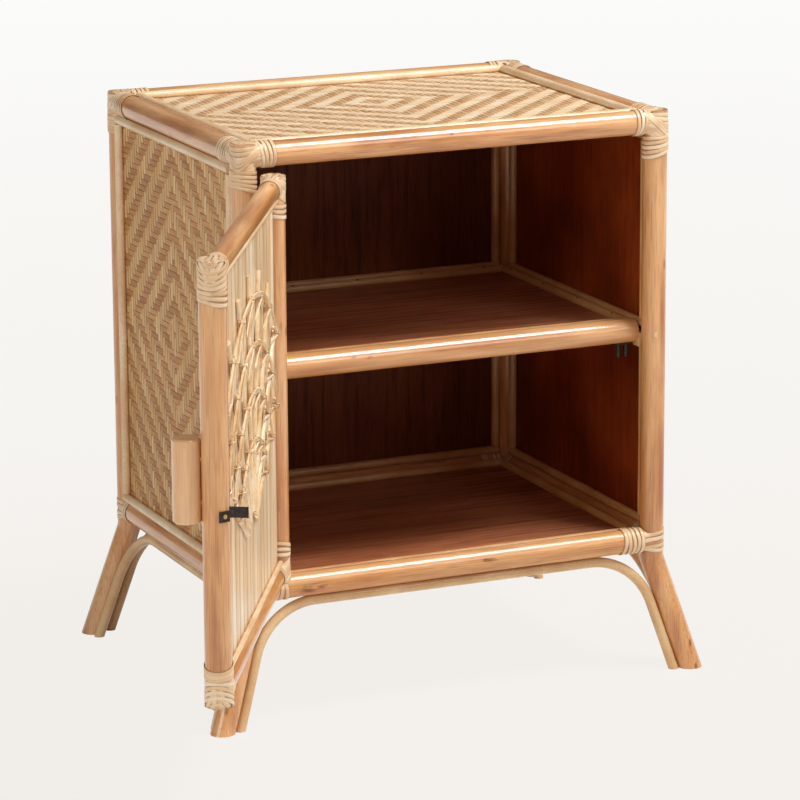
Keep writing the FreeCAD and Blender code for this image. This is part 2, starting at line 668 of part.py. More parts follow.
def catch_spring(bow_y):
    """A U of spring strip: its bow sits round the post, its legs lie between the arms' tails."""
    outer = ROLLER_SIDE - PIVOT_DIA / 2 - RUNNING - SPRING_SLACK
    inner = outer - SPRING_T
    leg_y = PIVOT_Y + ARM_W / 2 + FIT
    top = PLATE_LOW - SEAT
    corners = [
        (V(CATCH_X - outer, leg_y, top), V(CATCH_X - outer, bow_y, top)),
        (V(CATCH_X + outer, bow_y, top), V(CATCH_X + outer, leg_y, top)),
        (V(CATCH_X + inner, leg_y, top), V(CATCH_X + inner, bow_y, top)),
        (V(CATCH_X - inner, bow_y, top), V(CATCH_X - inner, leg_y, top)),
    ]
    runs = [Part.LineSegment(start, end).toShape() for start, end in corners]
    outer_bow = Part.Arc(corners[0][1], V(CATCH_X, bow_y + outer, top), corners[1][0]).toShape()
    inner_bow = Part.Arc(corners[2][1], V(CATCH_X, bow_y + inner, top), corners[3][0]).toShape()
    right_end = Part.LineSegment(corners[1][1], corners[2][0]).toShape()
    left_end = Part.LineSegment(corners[3][1], corners[0][0]).toShape()
    outline = Part.Wire([runs[0], outer_bow, runs[1], right_end, runs[2], inner_bow, runs[3], left_end])
    return Part.Face(outline).extrude(Z * -SPRING_H)


# ---------------------------------------------------------------- door, drawn closed and then swung open
def opened(shape):
    swung = shape.copy()
    swung.rotate(V(HINGE_X, HINGE_Y, 0), Z, -DOOR_OPEN)
    return swung


def save_door(node, *solids):
    save(node, *[opened(solid) for solid in solids])


def stile(x, radius):
    return cylinder(V(x, DOOR_Y, DOOR_LOW_Z - DOOR_RAIL_R), V(x, DOOR_Y, DOOR_TOP_Z + DOOR_RAIL_R), radius)


def door_rail(z, radius):
    return cylinder(V(HINGE_STILE_X, DOOR_Y, z), V(LATCH_STILE_X, DOOR_Y, z), radius)


def slat_room(grow):
    """The slab that the slats fill, grown, to groove the rails and slot the bindings."""
    margin = V(grow, SLAT_T / 2 + grow, grow)
    low = V(FIELD_LEFT, DOOR_Y, FIELD_LOW)
    high = V(FIELD_RIGHT, DOOR_Y, FIELD_HIGH)
    return block(low - margin, high + margin)


def door_slats():
    """Upright slats with crowned faces, set edge to edge in the grooves of the rails."""
    count = max(1, round((FIELD_RIGHT - FIELD_LEFT) / SLAT_W))
    pitch = (FIELD_RIGHT - FIELD_LEFT) / count
    half_w = (pitch - FIT) / 2
    half_edge = SLAT_EDGE_T / 2
    rise = Z * (FIELD_HIGH - FIELD_LOW)
    slats = []
    for number in range(count):
        middle = V(FIELD_LEFT + (number + 0.5) * pitch, DOOR_Y, FIELD_LOW)
        front_left = middle + V(-half_w, -half_edge, 0)
        front_right = middle + V(half_w, -half_edge, 0)
        back_right = middle + V(half_w, half_edge, 0)
        back_left = middle + V(-half_w, half_edge, 0)
        outline = Part.Wire([
            Part.Arc(front_left, middle - Y * (SLAT_T / 2), front_right).toShape(),
            Part.LineSegment(front_right, back_right).toShape(),
            Part.Arc(back_right, middle + Y * (SLAT_T / 2), back_left).toShape(),
            Part.LineSegment(back_left, front_left).toShape(),
        ])
        slats.append(Part.Face(outline).extrude(rise))
    return slats


def door_sleeves(x, radius, z, inward, up, grow=0.0):
    """Outer shapes of one corner wrap: a cap over the stile's end and a sleeve on the rail."""
    cap_end = V(x, DOOR_Y, z + up * (DOOR_RAIL_R + BIND_T + grow))
    cap = cylinder(cap_end - Z * (up * (DOOR_RAIL_R + BIND_T + DOOR_BIND_STILE)), cap_end, radius + BIND_T + grow)
    if grow == 0:
        rim = max(cap.Edges, key=lambda edge: up * edge.CenterOfMass.z)
        cap = cap.makeChamfer(DOOR_CAP_BEVEL, [rim])
    start = V(x, DOOR_Y, z)
    reach = X * (inward * (DOOR_BIND_RAIL + grow))
    return [cap, cylinder(start, start + reach, DOOR_RAIL_R + BIND_T + grow)]


DOOR_CORNERS = [
    (x, radius, z, inward, up)
    for x, radius, inward in ((HINGE_STILE_X, HINGE_R, 1), (LATCH_STILE_X, LATCH_R, -1))
    for z, up in ((DOOR_LOW_Z, -1), (DOOR_TOP_Z, 1))
]


def door_bindings():
    bindings = []
    for x, radius, z, inward, up in DOOR_CORNERS:
        cap, sleeve = door_sleeves(x, radius, z, inward, up)
        pole_end = V(x, DOOR_Y, z + up * (DOOR_RAIL_R + WRAP))
        pole = cylinder(pole_end - Z * (up * 2 * (DOOR_BIND_STILE + DOOR_RAIL_R)), pole_end, radius + WRAP)
        bindings.append(cap.fuse(sleeve).cut([pole, door_rail(z, DOOR_RAIL_R + WRAP), slat_room(WRAP)]))
    return bindings


def door_beads():
    """Slim beads that hold the slats at both rails, one on each face."""
    radius = DOOR_BEAD_DIA / 2
    side_step = SLAT_T / 2 + SEAT + radius
    rise = math.sqrt((DOOR_RAIL_R + radius + SEAT) ** 2 - side_step ** 2)
    tools = []
    for corner in DOOR_CORNERS:
        tools += door_sleeves(*corner, FIT / 2)
    beads = []
    for z, up in ((DOOR_LOW_Z, 1), (DOOR_TOP_Z, -1)):
        for face in (-1, 1):
            start = V(FIELD_LEFT + FIT, DOOR_Y + face * side_step, z + up * rise)
            end = V(FIELD_RIGHT - FIT, start.y, start.z)
            beads.append(cylinder(start, end, radius))
    return Part.makeCompound(beads).cut(tools).Solids


FAN_CENTRE = V((FIELD_LEFT + FIELD_RIGHT) / 2, DOOR_Y, DOOR_LOW_Z + FAN_BASE)
FAN_HALF_W = (FIELD_RIGHT - FIELD_LEFT) / 2 - FAN_SIDE_MARGIN
FAN_ARC_FACE = SLAT_T / 2 + SEAT + FAN_RIB_R + SEAT     # near face of the arcs, from the door's middle plane


def fan_direction(angle):
    """Unit vector in the door's plane, this many degrees from upright."""
    return V(math.sin(math.radians(angle)), 0, math.cos(math.radians(angle)))


def fan_ribs():
    """Half-round reeds that spread from the bottom centre, on both faces."""
    ribs = []
    for number in range(FAN_RIB_COUNT):
        angle = FAN_HALF_ANGLE * (2 * number / (FAN_RIB_COUNT - 1) - 1)
        direction = fan_direction(angle)
        sideways = max(abs(direction.x), 0.01)
        outer = min(FAN_OUTER, FAN_HALF_W / sideways)
        for face in (-1, 1):
            base = FAN_CENTRE + Y * (face * (SLAT_T / 2 + SEAT))
            ribs.append(bead(base + direction * FAN_INNER, base + direction * outer, Y * -face, FAN_RIB_R, 0))
    return ribs


def fan_arcs():
    """Flat reeds bent into arcs that lie across the ribs, on both faces."""
    arcs = []
    for number in range(FAN_ARC_COUNT):
        radius = FAN_OUTER - (number + 0.5) * FAN_ARC_STEP
        widest = math.degrees(math.asin(min(1, FAN_HALF_W / radius)))
        angle = min(FAN_HALF_ANGLE, widest)
        inner, outer = [
            [FAN_CENTRE + fan_direction(turn) * edge for turn in (-angle, 0, angle)]
            for edge in (radius - FAN_ARC_W / 2, radius + FAN_ARC_W / 2)
        ]
        outline = Part.Wire([
            Part.Arc(*outer).toShape(),
            Part.LineSegment(outer[2], inner[2]).toShape(),
            Part.Arc(*reversed(inner)).toShape(),
            Part.LineSegment(inner[0], outer[0]).toShape(),
        ])
        reed = Part.Face(outline).extrude(Y * FAN_ARC_T)
        for start in (FAN_ARC_FACE, -FAN_ARC_FACE - FAN_ARC_T):
            arcs.append(reed.translated(Y * start))
    return arcs


def handle_dowels(grow=0.0):
    """Two hidden dowels that fix the handle to the latch stile."""
    front = DOOR_Y - LATCH_R
    dowels = []
    for side in (-1, 1):
        z = SHELF_RAIL_Z + HANDLE_ABOVE + side * DOWEL_SPREAD / 2
        start = V(LATCH_STILE_X, front + DOWEL_IN_STILE + grow, z)
        end = V(LATCH_STILE_X, front - SEAT - DOWEL_IN_HANDLE - grow, z)
        dowels.append(cylinder(start, end, DOWEL_DIA / 2 + grow))
    return dowels


def handle():
    y = DOOR_Y - LATCH_R - SEAT - HANDLE_DIA / 2
    low = V(LATCH_STILE_X, y, SHELF_RAIL_Z + HANDLE_ABOVE - HANDLE_H / 2)
    turned = cylinder(low, low + Z * HANDLE_H, HANDLE_DIA / 2)
    rims = [edge for edge in turned.Edges if isinstance(edge.Curve, Part.Circle)]
    return turned.makeChamfer(HANDLE_BEVEL, rims).cut(handle_dowels(HOLE))


STRIKE_OUT = (X + Y).normalize()        # from the stile axis to the base of the strike
STRIKE_RUN = (Y - X).normalize()        # along the base, towards the tongue


def strike_screw(grow=0.0):
    centre = V(LATCH_STILE_X, DOOR_Y, STRIKE_Z - STRIKE_BASE_DROP)
    return screw(centre + STRIKE_OUT * (LATCH_R + SEAT + STRIKE_T), -STRIKE_OUT, grow)


def strike():
    """A bent strip: a base screwed to the stile, and a tongue with a rounded nose."""
    axis = V(LATCH_STILE_X, DOOR_Y, STRIKE_Z)
    base_inner = axis + STRIKE_OUT * (LATCH_R + SEAT)
    tail = base_inner - STRIKE_RUN * (STRIKE_BASE_L / 2)
    bend_along = (CATCH_X - STRIKE_T / 2 - base_inner.x) / STRIKE_RUN.x
    bend = base_inner + STRIKE_RUN * bend_along
    thick = STRIKE_OUT * STRIKE_T
    outline = Part.makePolygon([tail, tail + thick, bend + thick, bend, tail])
    half_h = Z * (STRIKE_H / 2)
    base = Part.Face(outline).extrude(half_h * 2)
    base.translate(-half_h - Z * STRIKE_BASE_DROP)
    nose = V(CATCH_X, ROLLER_Y + STRIKE_PAST_ROLLERS, STRIKE_Z)
    tongue = block(
        V(CATCH_X - STRIKE_T / 2, bend.y, STRIKE_Z - STRIKE_H / 2),
        V(CATCH_X + STRIKE_T / 2, nose.y, STRIKE_Z + STRIKE_H / 2),
    )
    head = cylinder(nose - half_h, nose + half_h, STRIKE_HEAD_DIA / 2)
    return base.fuse([tongue, head]).cut(strike_screw(HOLE)).removeSplitter()


def make_door():
    hinge_stile = stile(HINGE_STILE_X, HINGE_R)
    latch_stile = stile(LATCH_STILE_X, LATCH_R)
    screw_x = HINGE_STILE_X
    save_door("door_stile_hinge", hinge_stile.cut(leaf_screws(screw_x, HOLE)))
    save_door("door_stile_latch", latch_stile.cut(handle_dowels(HOLE) + [strike_screw(HOLE)]))
    stile_tools = [stile(HINGE_STILE_X, HINGE_R + SEAT), stile(LATCH_STILE_X, LATCH_R + SEAT)]
    for name, z in (("bottom", DOOR_LOW_Z), ("top", DOOR_TOP_Z)):
        save_door("door_rail_" + name, door_rail(z, DOOR_RAIL_R).cut(stile_tools + [slat_room(SEAT)]))
    save_door("door_slats", *door_slats())
    save_door("door_fan_ribs", *fan_ribs())
    save_door("door_fan_arcs", *fan_arcs())
    save_door("door_beads", *door_beads())
    save_door("door_bindings", *door_bindings())
    save_door("handle", handle())
    save_door("handle_dowels", *handle_dowels())
    save_door("strike", strike())
    leaves = [hinge_leaf(1, centre, leaf_screws(screw_x, HOLE)) for centre in HINGE_CENTRES]
    save_door("hinge_door_leaves", *leaves)
    save_door("door_screws", strike_screw(), *leaf_screws(screw_x))


def make_frame_hinges():
    leaves = [hinge_leaf(-1, centre, leaf_screws(-HALF_X, HOLE)) for centre in HINGE_CENTRES]
    save("hinge_frame_leaves", *leaves)
    save("hinge_pins", *[hinge_pin(centre) for centre in HINGE_CENTRES])


os.makedirs("parts", exist_ok=True)
make_legs(leaf_screws(-HALF_X, HOLE))
make_rails([leg_stock(sx, sy, POLE_R + SEAT, LEG_TOP_Z + POLE_R) for sx, sy in CORNERS.values()])
make_arches()
make_bindings()
make_panels()
make_shelf(catch_screws(HOLE))
make_beads()
save("leg_plugs", plug(-1), plug(1))
make_frame_hinges()
make_catch()
save("cabinet_screws", *(leaf_screws(-HALF_X) + catch_screws()))
make_door()
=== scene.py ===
"""Looks of the cane storage side table.

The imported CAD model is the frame. This script gives its nodes their materials and builds what the
CAD model holds as plain sheets and sleeves: the strands of the woven panels and the peel strips of
the bindings. It adds the thin reeds and lashings of the door's fan and the heads of the pins in the
shelf's beads. Sizes are millimetres, +Z up, the door towards -Y.
"""

import json
import math
import random

import bpy
import numpy as np
from mathutils import Matrix, Vector


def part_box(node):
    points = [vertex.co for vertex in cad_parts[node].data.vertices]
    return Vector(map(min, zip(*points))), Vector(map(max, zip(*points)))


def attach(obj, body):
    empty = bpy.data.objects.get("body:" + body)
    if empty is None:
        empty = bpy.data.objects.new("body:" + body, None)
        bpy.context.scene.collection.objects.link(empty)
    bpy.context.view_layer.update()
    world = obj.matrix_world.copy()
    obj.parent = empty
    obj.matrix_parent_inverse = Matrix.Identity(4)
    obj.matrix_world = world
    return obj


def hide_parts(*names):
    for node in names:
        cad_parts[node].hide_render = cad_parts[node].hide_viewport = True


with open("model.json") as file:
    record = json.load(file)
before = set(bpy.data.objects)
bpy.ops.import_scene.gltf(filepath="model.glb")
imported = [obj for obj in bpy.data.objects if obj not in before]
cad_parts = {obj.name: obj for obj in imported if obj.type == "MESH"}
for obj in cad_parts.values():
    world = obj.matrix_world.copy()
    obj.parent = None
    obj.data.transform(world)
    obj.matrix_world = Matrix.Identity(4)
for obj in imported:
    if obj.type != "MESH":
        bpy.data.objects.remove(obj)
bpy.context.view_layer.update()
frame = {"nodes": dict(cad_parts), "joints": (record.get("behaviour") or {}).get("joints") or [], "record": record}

MM = 0.001
CHANCE = random.Random(7)

# ---------------------------------------------------------------- sizes
# Camera, from the photograph
CAMERA_AZIMUTH = -23.95
CAMERA_ELEVATION = 13.82
CAMERA_ROLL = -0.34
CAMERA_LENS = 178.78
CAMERA_DISTANCE = 4170.0
CAMERA_TARGET = (16.77, 0.0, 270.4)

# Beads
BEAD_R = 4.5
PIN_R = 1.0
PIN_STEP = 82.0
PIN_HEAD_T = 0.7
PIN_SUNK = 0.4

# Marks that the photograph shows on the poles: a place on the surface and a radius
TOP_RAIL_KNOTS = (((-7, -183.4, 584.2), 1.7),)
SHELF_RAIL_KNOTS = (((-104, -158.8, 361.7), 2.0), ((-86, -159.1, 360.9), 2.6))
LOW_RAIL_STAINS = (
    ((36, -184.8, 141.6), 3.2), ((29, -184.6, 142.4), 2.6),
    ((-166, -185, 135), 6.0), ((-154, -185, 137), 4.0),
)
LEG_KNOTS = (((258.7, -197.5, 27.5), 2.4), ((263.9, -201.8, 3.0), 2.6))
MARK_STRETCH = 2.4                  # how far they are drawn out along the pole

# Weave
STRAND_T = 0.6
SIDE_PITCH_PALE = 6.6
SIDE_PITCH_BROWN = 6.3
TOP_PITCH = 6.3
STRAND_GAP = 0.5
STRAND_SHORT = 0.6                  # how far a strand ends inside the sheet's edge
STRAND_CLEAR = 0.1                  # free space under the lowest strands and over the highest
SIDE_DIAMOND = (11.0, 362.0)        # y and z of the middle of the diamonds
TOP_DIAMOND = (36.0, 5.0)           # y and x
TWILL = 6                           # strands in one repeat

# Peel strips. U of their UVs is the length along a strip, V runs from -STRIP_V to STRIP_V across it
STRIP_T = 0.6
STRIP_V = 3.0
BASE_LIFT = 0.02                    # turns that lie on the poles
OVER_LIFT = 0.4                     # turns that cross those
DOOR_OVER_LIFT = 0.42
DOOR_END_LIFT = 0.15                # turns over the ends of the door's stiles
LOW_LIFT = 0.1                      # turns round the bottom corners
RING_LIFT = 0.6
DOOR_RING_LIFT = 0.45
SOFTEN = 0.5                        # how much the strips round off the joint of the poles
BAND_STEPS = 9                      # path steps between two control points of a band
RING_STEPS = 40
RING_WAVER = 0.15                   # how far a ring strays along its pole
TAUT_STEPS = 80                     # rounds of pulling it tight
FREE_STEPS = 12                     # of them at the end without holding it at the control points

# Door slats and fan, as in the CAD model
SLAT_COUNT = 16
FAN_BASE = 84.6                     # height of its centre over the lower rail
FAN_MID_X = -1.2
FAN_RIB_COUNT = 9
FAN_HALF_ANGLE = 60.0
FAN_OUTER = 255.0
FAN_HALF_W = 167.8
FAN_ARC_STEP = 45.0
FAN_ARC_COUNT = 4
FAN_FACE = 7.4                      # outer face of the arcs from the middle of the door
FAN_REED_Y = 2.0                    # middle of the reeds from the middle of the door
FAN_REED_R = 3.9
TWINE_R = 0.65
SCALLOP_DIP = 30.0                  # how far the outermost loops hang

# Lamps: place, aim, width and height in metres, watts
SOFTBOXES = {
    "key": ((1.2, -1.05, 3.05), (0, 0, 0.35), (1.3, 0.95), 96),
    "front": ((1.1, -2.6, 1.9), (0, 0, 0.35), (0.9, 0.9), 12),
    "left": ((-2.9, -1.5, 1.5), (0, 0, 0.3), (1.6, 1.8), 36),
}
SKY_STRENGTH = 0.15
FLOOR_GLOW = 0.96                   # share of the floor's own light in what the camera sees of it


# ---------------------------------------------------------------- places read from the frame
def box(node):
    """Lowest and highest corner of a CAD node at rest, in millimetres."""
    low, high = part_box(node)
    return np.array(low) / MM, np.array(high) / MM


def middle(node):
    low, high = box(node)
    return (low + high) / 2


def half_width(node, axis):
    low, high = box(node)
    return (high[axis] - low[axis]) / 2


HALF_X = middle("top_rail_right")[0]
HALF_Y = middle("top_rail_back")[1]
TOP_Z = middle("top_rail_front")[2]
BOTTOM_Z = middle("bottom_rail_front")[2]
POLE_R = half_width("top_rail_front", 2)
LEG_END = box("leg_front_right")[1][2] - TOP_Z

DOOR_JOINT = next(joint for joint in frame["joints"] if joint["name"] == "door_hinge")
HINGE_LINE = np.array(DOOR_JOINT["pos_m"]) / MM
OPEN_ANGLE = math.radians(DOOR_JOINT["range_deg"][1])


def turned(points, angle):
    """Points turned about the hinge line of the door."""
    c, s = math.cos(angle), math.sin(angle)
    turn = np.array([[c, -s, 0], [s, c, 0], [0, 0, 1]])
    return (np.asarray(points) - HINGE_LINE) @ turn.T + HINGE_LINE


def opened(points):
    """From the shut door, in which its pieces are drawn, to the door as modelled."""
    return turned(points, -OPEN_ANGLE)


def shut_place(node):
    return turned(middle(node), OPEN_ANGLE)


HINGE_STILE = shut_place("door_stile_hinge")
LATCH_STILE = shut_place("door_stile_latch")
DOOR_Y = LATCH_STILE[1]
HINGE_STILE_R = half_width("door_stile_hinge", 0)
LATCH_STILE_R = half_width("door_stile_latch", 0)
DOOR_LOW_Z = middle("door_rail_bottom")[2]
DOOR_TOP_Z = middle("door_rail_top")[2]
DOOR_RAIL_R = half_width("door_rail_top", 2)


# ---------------------------------------------------------------- materials
def linear(red, green, blue):
    """Colour sockets are linear; colours here are written as they are seen, 0 to 255."""
    return tuple(
        c / 255 / 12.92 if c <= 10 else ((c / 255 + 0.055) / 1.055) ** 2.4 for c in (red, green, blue)
    ) + (1,)


class Finish:
    """A node material while it is being put together."""

    def __init__(self, name, coordinates="Object", **sockets):
        self.material = bpy.data.materials.new(name)
        self.material.use_nodes = True
        self.tree = self.material.node_tree
        self.shader = self.tree.nodes["Principled BSDF"]
        for socket, value in sockets.items():
            self.shader.inputs[socket.replace("_", " ")].default_value = value
        self.place = self.add("ShaderNodeTexCoord").outputs[coordinates]

    def add(self, kind, **sockets):
        node = self.tree.nodes.new(kind)
        for socket, value in sockets.items():
            self.feed(node.inputs[socket], value)
        return node

    def feed(self, socket, value):
        if isinstance(value, bpy.types.NodeSocket):
            self.tree.links.new(value, socket)
        else:
            socket.default_value = value

    def stretched(self, stretch, turn=0.0):
        """Coordinates drawn out by these factors, after a turn about Z."""
        mapping = self.add("ShaderNodeMapping", Vector=self.place, Scale=stretch, Rotation=(0, 0, turn))
        mapping.vector_type = "TEXTURE"
        return mapping.outputs["Vector"]

    def noise(self, scale, stretch=(1, 1, 1), turn=0.0, detail=3.0):
        where = self.stretched(stretch, turn)
        return self.add("ShaderNodeTexNoise", Vector=where, Scale=scale, Detail=detail).outputs["Fac"]

    def ramp(self, value, *stops):
        """Colours by value: stops are (position, colour)."""
        node = self.add("ShaderNodeValToRGB", Fac=value)
        elements = node.color_ramp.elements
        while len(elements) < len(stops):
            elements.new(0.5)
        for element, (position, colour) in zip(elements, stops):
            element.position = position
            element.color = linear(*colour)
        return node.outputs["Color"]

    def grey(self, value, low, high, dark=0.0, light=1.0):
        """The value drawn out from low..high to dark..light."""
        node = self.add("ShaderNodeMapRange", Value=value)
        for socket, number in (("From Min", low), ("From Max", high), ("To Min", dark), ("To Max", light)):
            node.inputs[socket].default_value = number
        return node.outputs["Result"]

    def mix(self, factor, first, second, blend="MIX"):
        node = self.tree.nodes.new("ShaderNodeMix")
        node.data_type = "RGBA"
        node.blend_type = blend
        for index, value in ((0, factor), (6, first), (7, second)):
            self.feed(node.inputs[index], value)
        return node.outputs[2]

    def maths(self, operation, first, second=0.0):
        node = self.tree.nodes.new("ShaderNodeMath")
        node.operation = operation
        self.feed(node.inputs[0], first)
        self.feed(node.inputs[1], second)
        return node.outputs[0]

    def knots(self, axis, turn):
        """Rare small oval marks, drawn out along the pole."""
        where = self.stretched(along(axis, 2.0), turn)
        cells = self.add("ShaderNodeTexVoronoi", Vector=where, Scale=30.0)
        return self.grey(cells.outputs["Distance"], 0.1, 0.05)

    def mark(self, place, radius, axis, turn, ragged):
        """One mark at a place on the pole, with an edge made uneven by a noise."""
        near = self.add("ShaderNodeVectorMath", Vector=self.stretched(along(axis, MARK_STRETCH), turn))
        near.operation = "DISTANCE"
        near.inputs[1].default_value = np.array(place) * MM / along(axis, MARK_STRETCH)
        size = radius * MM
        edge = self.maths("ADD", near.outputs["Value"], self.maths("MULTIPLY", ragged, 2.4 * size))
        return self.grey(edge, 2.1 * size, 1.3 * size, 0, 0.8)

    def finish(self, colour, roughness=None, height=None, depth=0.0):
        """Joins the colour, and if given the roughness and a bump of this depth in mm, to the shader."""
        self.feed(self.shader.inputs["Base Color"], colour)
        if roughness is not None:
            self.feed(self.shader.inputs["Roughness"], roughness)
        if height is not None:
            bump = self.add("ShaderNodeBump", Height=height, Distance=depth * MM, Strength=1.0)
            self.feed(self.shader.inputs["Normal"], bump.outputs["Normal"])
        return self.material


def along(axis, factor):
    """Stretch factors that draw a texture out along one axis."""
    stretch = [1.0, 1.0, 1.0]
    stretch[axis] = factor
    return stretch


POLE_TONES = ((198, 128, 72), (222, 158, 98), (238, 182, 124))
HANDLE_TONES = ((216, 154, 104), (236, 182, 132), (246, 202, 156))


def pole_finish(name, axis, turn=0.0, stained=0.75, marks=(), tones=POLE_TONES, coat=0.9):
    """Lacquered cane pole: streaks, stains and fine pores along it, small knots, and the given marks."""
    f = Finish(name, Coat_Weight=coat, Coat_Roughness=0.17, Coat_IOR=1.6, Specular_IOR_Level=0.2)
    streaks = f.noise(95, along(axis, 12), turn)
    broad = f.noise(9, along(axis, 2.5), turn)
    fibres = f.noise(1100, along(axis, 40), turn, detail=2)
    stain = f.noise(30, along(axis, 5), turn, detail=5)
    colour = f.ramp(streaks, *zip((0.3, 0.5, 0.68), tones))
    colour = f.mix(f.grey(broad, 0.48, 0.75), colour, linear(230, 180, 128))
    colour = f.mix(f.grey(stain, 0.54, 0.72, 0, stained), colour, linear(160, 88, 40))
    colour = f.mix(f.grey(fibres, 0.5, 0.7, 0, 0.12 + 0.45 * stained), colour, linear(150, 86, 42))
    colour = f.mix(f.maths("MULTIPLY", f.knots(axis, turn), 0.6), colour, linear(150, 74, 24))
    if marks:
        ragged = f.noise(260, along(axis, 3), turn, detail=5)
        for place, radius in marks:
            colour = f.mix(f.mark(place, radius, axis, turn, ragged), colour, linear(126, 62, 26))
    return f.finish(colour, f.grey(broad, 0.3, 0.7, 0.3, 0.42), fibres, 0.06)


def core_finish(name, dark, mid, pale):
    """Round core, a little fibrous, with dull varnish."""
    f = Finish(name, Coat_Weight=0.35, Coat_Roughness=0.12, Specular_IOR_Level=0.3)
    fleck = f.noise(420, detail=4)
    broad = f.noise(16)
    colour = f.ramp(broad, (0.35, dark), (0.55, mid), (0.7, pale))
    colour = f.mix(f.grey(fleck, 0.5, 0.8, 0, 0.4), colour, linear(190, 136, 84))
    return f.finish(colour, 0.42, fleck, 0.08)


def strip_finish(name, dark, mid, pale, line, roughness=0.36, lines=0.4, coat=0.35, edge_shade=0.4):
    """Flat cane strip. Its tone changes from strip to strip; fine lines along it, and painted shade that darkens
    its sides, as in the gaps between strips.
    """
    f = Finish(name, "UV", Coat_Weight=coat, Coat_Roughness=0.15, Specular_IOR_Level=0.25)
    tone = f.noise(0.045, (8, 1, 1), detail=1)
    fine = f.noise(2.2, (40, 1, 1), detail=2)
    patch = f.noise(0.16, (3, 1, 1), detail=4)
    colour = f.ramp(tone, (0.3, dark), (0.5, mid), (0.68, pale))
    colour = f.mix(f.grey(patch, 0.5, 0.78, 0, 0.5), colour, linear(*dark))
    colour = f.mix(f.grey(fine, 0.5, 0.75, 0, lines), colour, linear(*line))
    # Painted shade: the strip darkens towards its two long sides, standing in for the shade in the gaps between
    # strips.
    across = f.maths("ABSOLUTE", f.add("ShaderNodeSeparateXYZ", Vector=f.place).outputs["Y"])
    edge_shade_tone = linear(*(c * 0.7 for c in line))
    colour = f.mix(f.grey(across, 0.7 * STRIP_V, STRIP_V, 0, edge_shade), colour, edge_shade_tone)
    return f.finish(colour, roughness, fine, 0.05)


def slat_finish():
    """Flat pale slats with fine upright lines, soft tone changes, and painted shade in the seams between them."""
    f = Finish("slat", Coat_Weight=0.3, Coat_Roughness=0.2, Specular_IOR_Level=0.25)
    lines = f.noise(520, (1, 1, 60), -OPEN_ANGLE, 2)
    streaks = f.noise(60, (1, 1, 12), -OPEN_ANGLE)
    colour = f.ramp(streaks, (0.35, (222, 188, 144)), (0.52, (240, 212, 174)), (0.68, (250, 230, 200)))
    colour = f.mix(f.grey(lines, 0.5, 0.7, 0, 0.5), colour, linear(200, 152, 102))
    vertices = [vertex.co for vertex in frame["nodes"]["door_slats"].data.vertices]
    across = turned(np.array(vertices) / MM, OPEN_ANGLE)[:, 0]
    pitch = (across.max() - across.min()) / SLAT_COUNT
    edge = opened((across.min(), DOOR_Y, 0.0)) * MM
    where = f.add("ShaderNodeMapping", Vector=f.place, Location=edge,
                  Rotation=(0, 0, -OPEN_ANGLE), Scale=(pitch * MM, 1, 1))
    where.vector_type = "TEXTURE"
    share = f.maths("FRACT", f.add("ShaderNodeSeparateXYZ", Vector=where.outputs["Vector"]).outputs["X"])
    # Painted shade: a dark line where two slats meet, standing in for the shade in the groove between them.
    seam_shade = f.grey(f.maths("ABSOLUTE", f.maths("SUBTRACT", share, 0.5)), 0.43, 0.49, 0, 0.8)
    colour = f.mix(seam_shade, colour, linear(122, 74, 38))
    return f.finish(colour, 0.4, lines, 0.12)


def fan_finish():
    """Half-round reeds: pale with a warm shade in places."""
    f = Finish("fan", Coat_Weight=0.35, Coat_Roughness=0.15)
    broad = f.noise(30)
    fleck = f.noise(500, (1, 1, 3))
    colour = f.ramp(broad, (0.35, (222, 178, 124)), (0.52, (240, 208, 162)), (0.7, (250, 230, 198)))
    colour = f.mix(f.grey(fleck, 0.5, 0.75, 0, 0.4), colour, linear(180, 128, 82))
    return f.finish(colour, 0.36, fleck, 0.06)


def ply_finish(name, axis, dark, mid, pale, grain_tone, grained=0.7, drawn=3.0):
    """Stained plywood with a thin satin varnish: open grain along one axis, cloudy stain."""
    f = Finish(name, Coat_Weight=0.06, Coat_Roughness=0.3, Specular_IOR_Level=0.12)
    broad = f.noise(9, along(axis, drawn), detail=5)
    grain = f.noise(150, along(axis, 24), detail=4)
    pores = f.noise(900, along(axis, 24), detail=2)
    colour = f.ramp(broad, (0.34, dark), (0.52, mid), (0.7, pale))
    colour = f.mix(f.grey(grain, 0.46, 0.72, 0, grained), colour, linear(*grain_tone))
    pore_tone = linear(*(c * 0.55 for c in grain_tone))
    colour = f.mix(f.grey(pores, 0.55, 0.7, 0, 0.55), colour, pore_tone)
    return f.finish(colour, f.grey(grain, 0.3, 0.7, 0.42, 0.58), grain, 0.06)


def metal_finish(name, tint, worn, metallic, roughness):
    """Metal with a cloudy finish that is worn brighter in specks."""
    f = Finish(name, Metallic=metallic)
    cloud = f.noise(160, detail=4)
    specks = f.noise(900)
    colour = f.ramp(cloud, (0.35, tint), (0.65, tuple(c * 1.35 for c in tint)))
    colour = f.mix(f.grey(specks, 0.62, 0.74, 0, 0.6), colour, linear(*worn))
    return f.finish(colour, f.grey(cloud, 0.3, 0.7, roughness, roughness + 0.15), specks, 0.02)


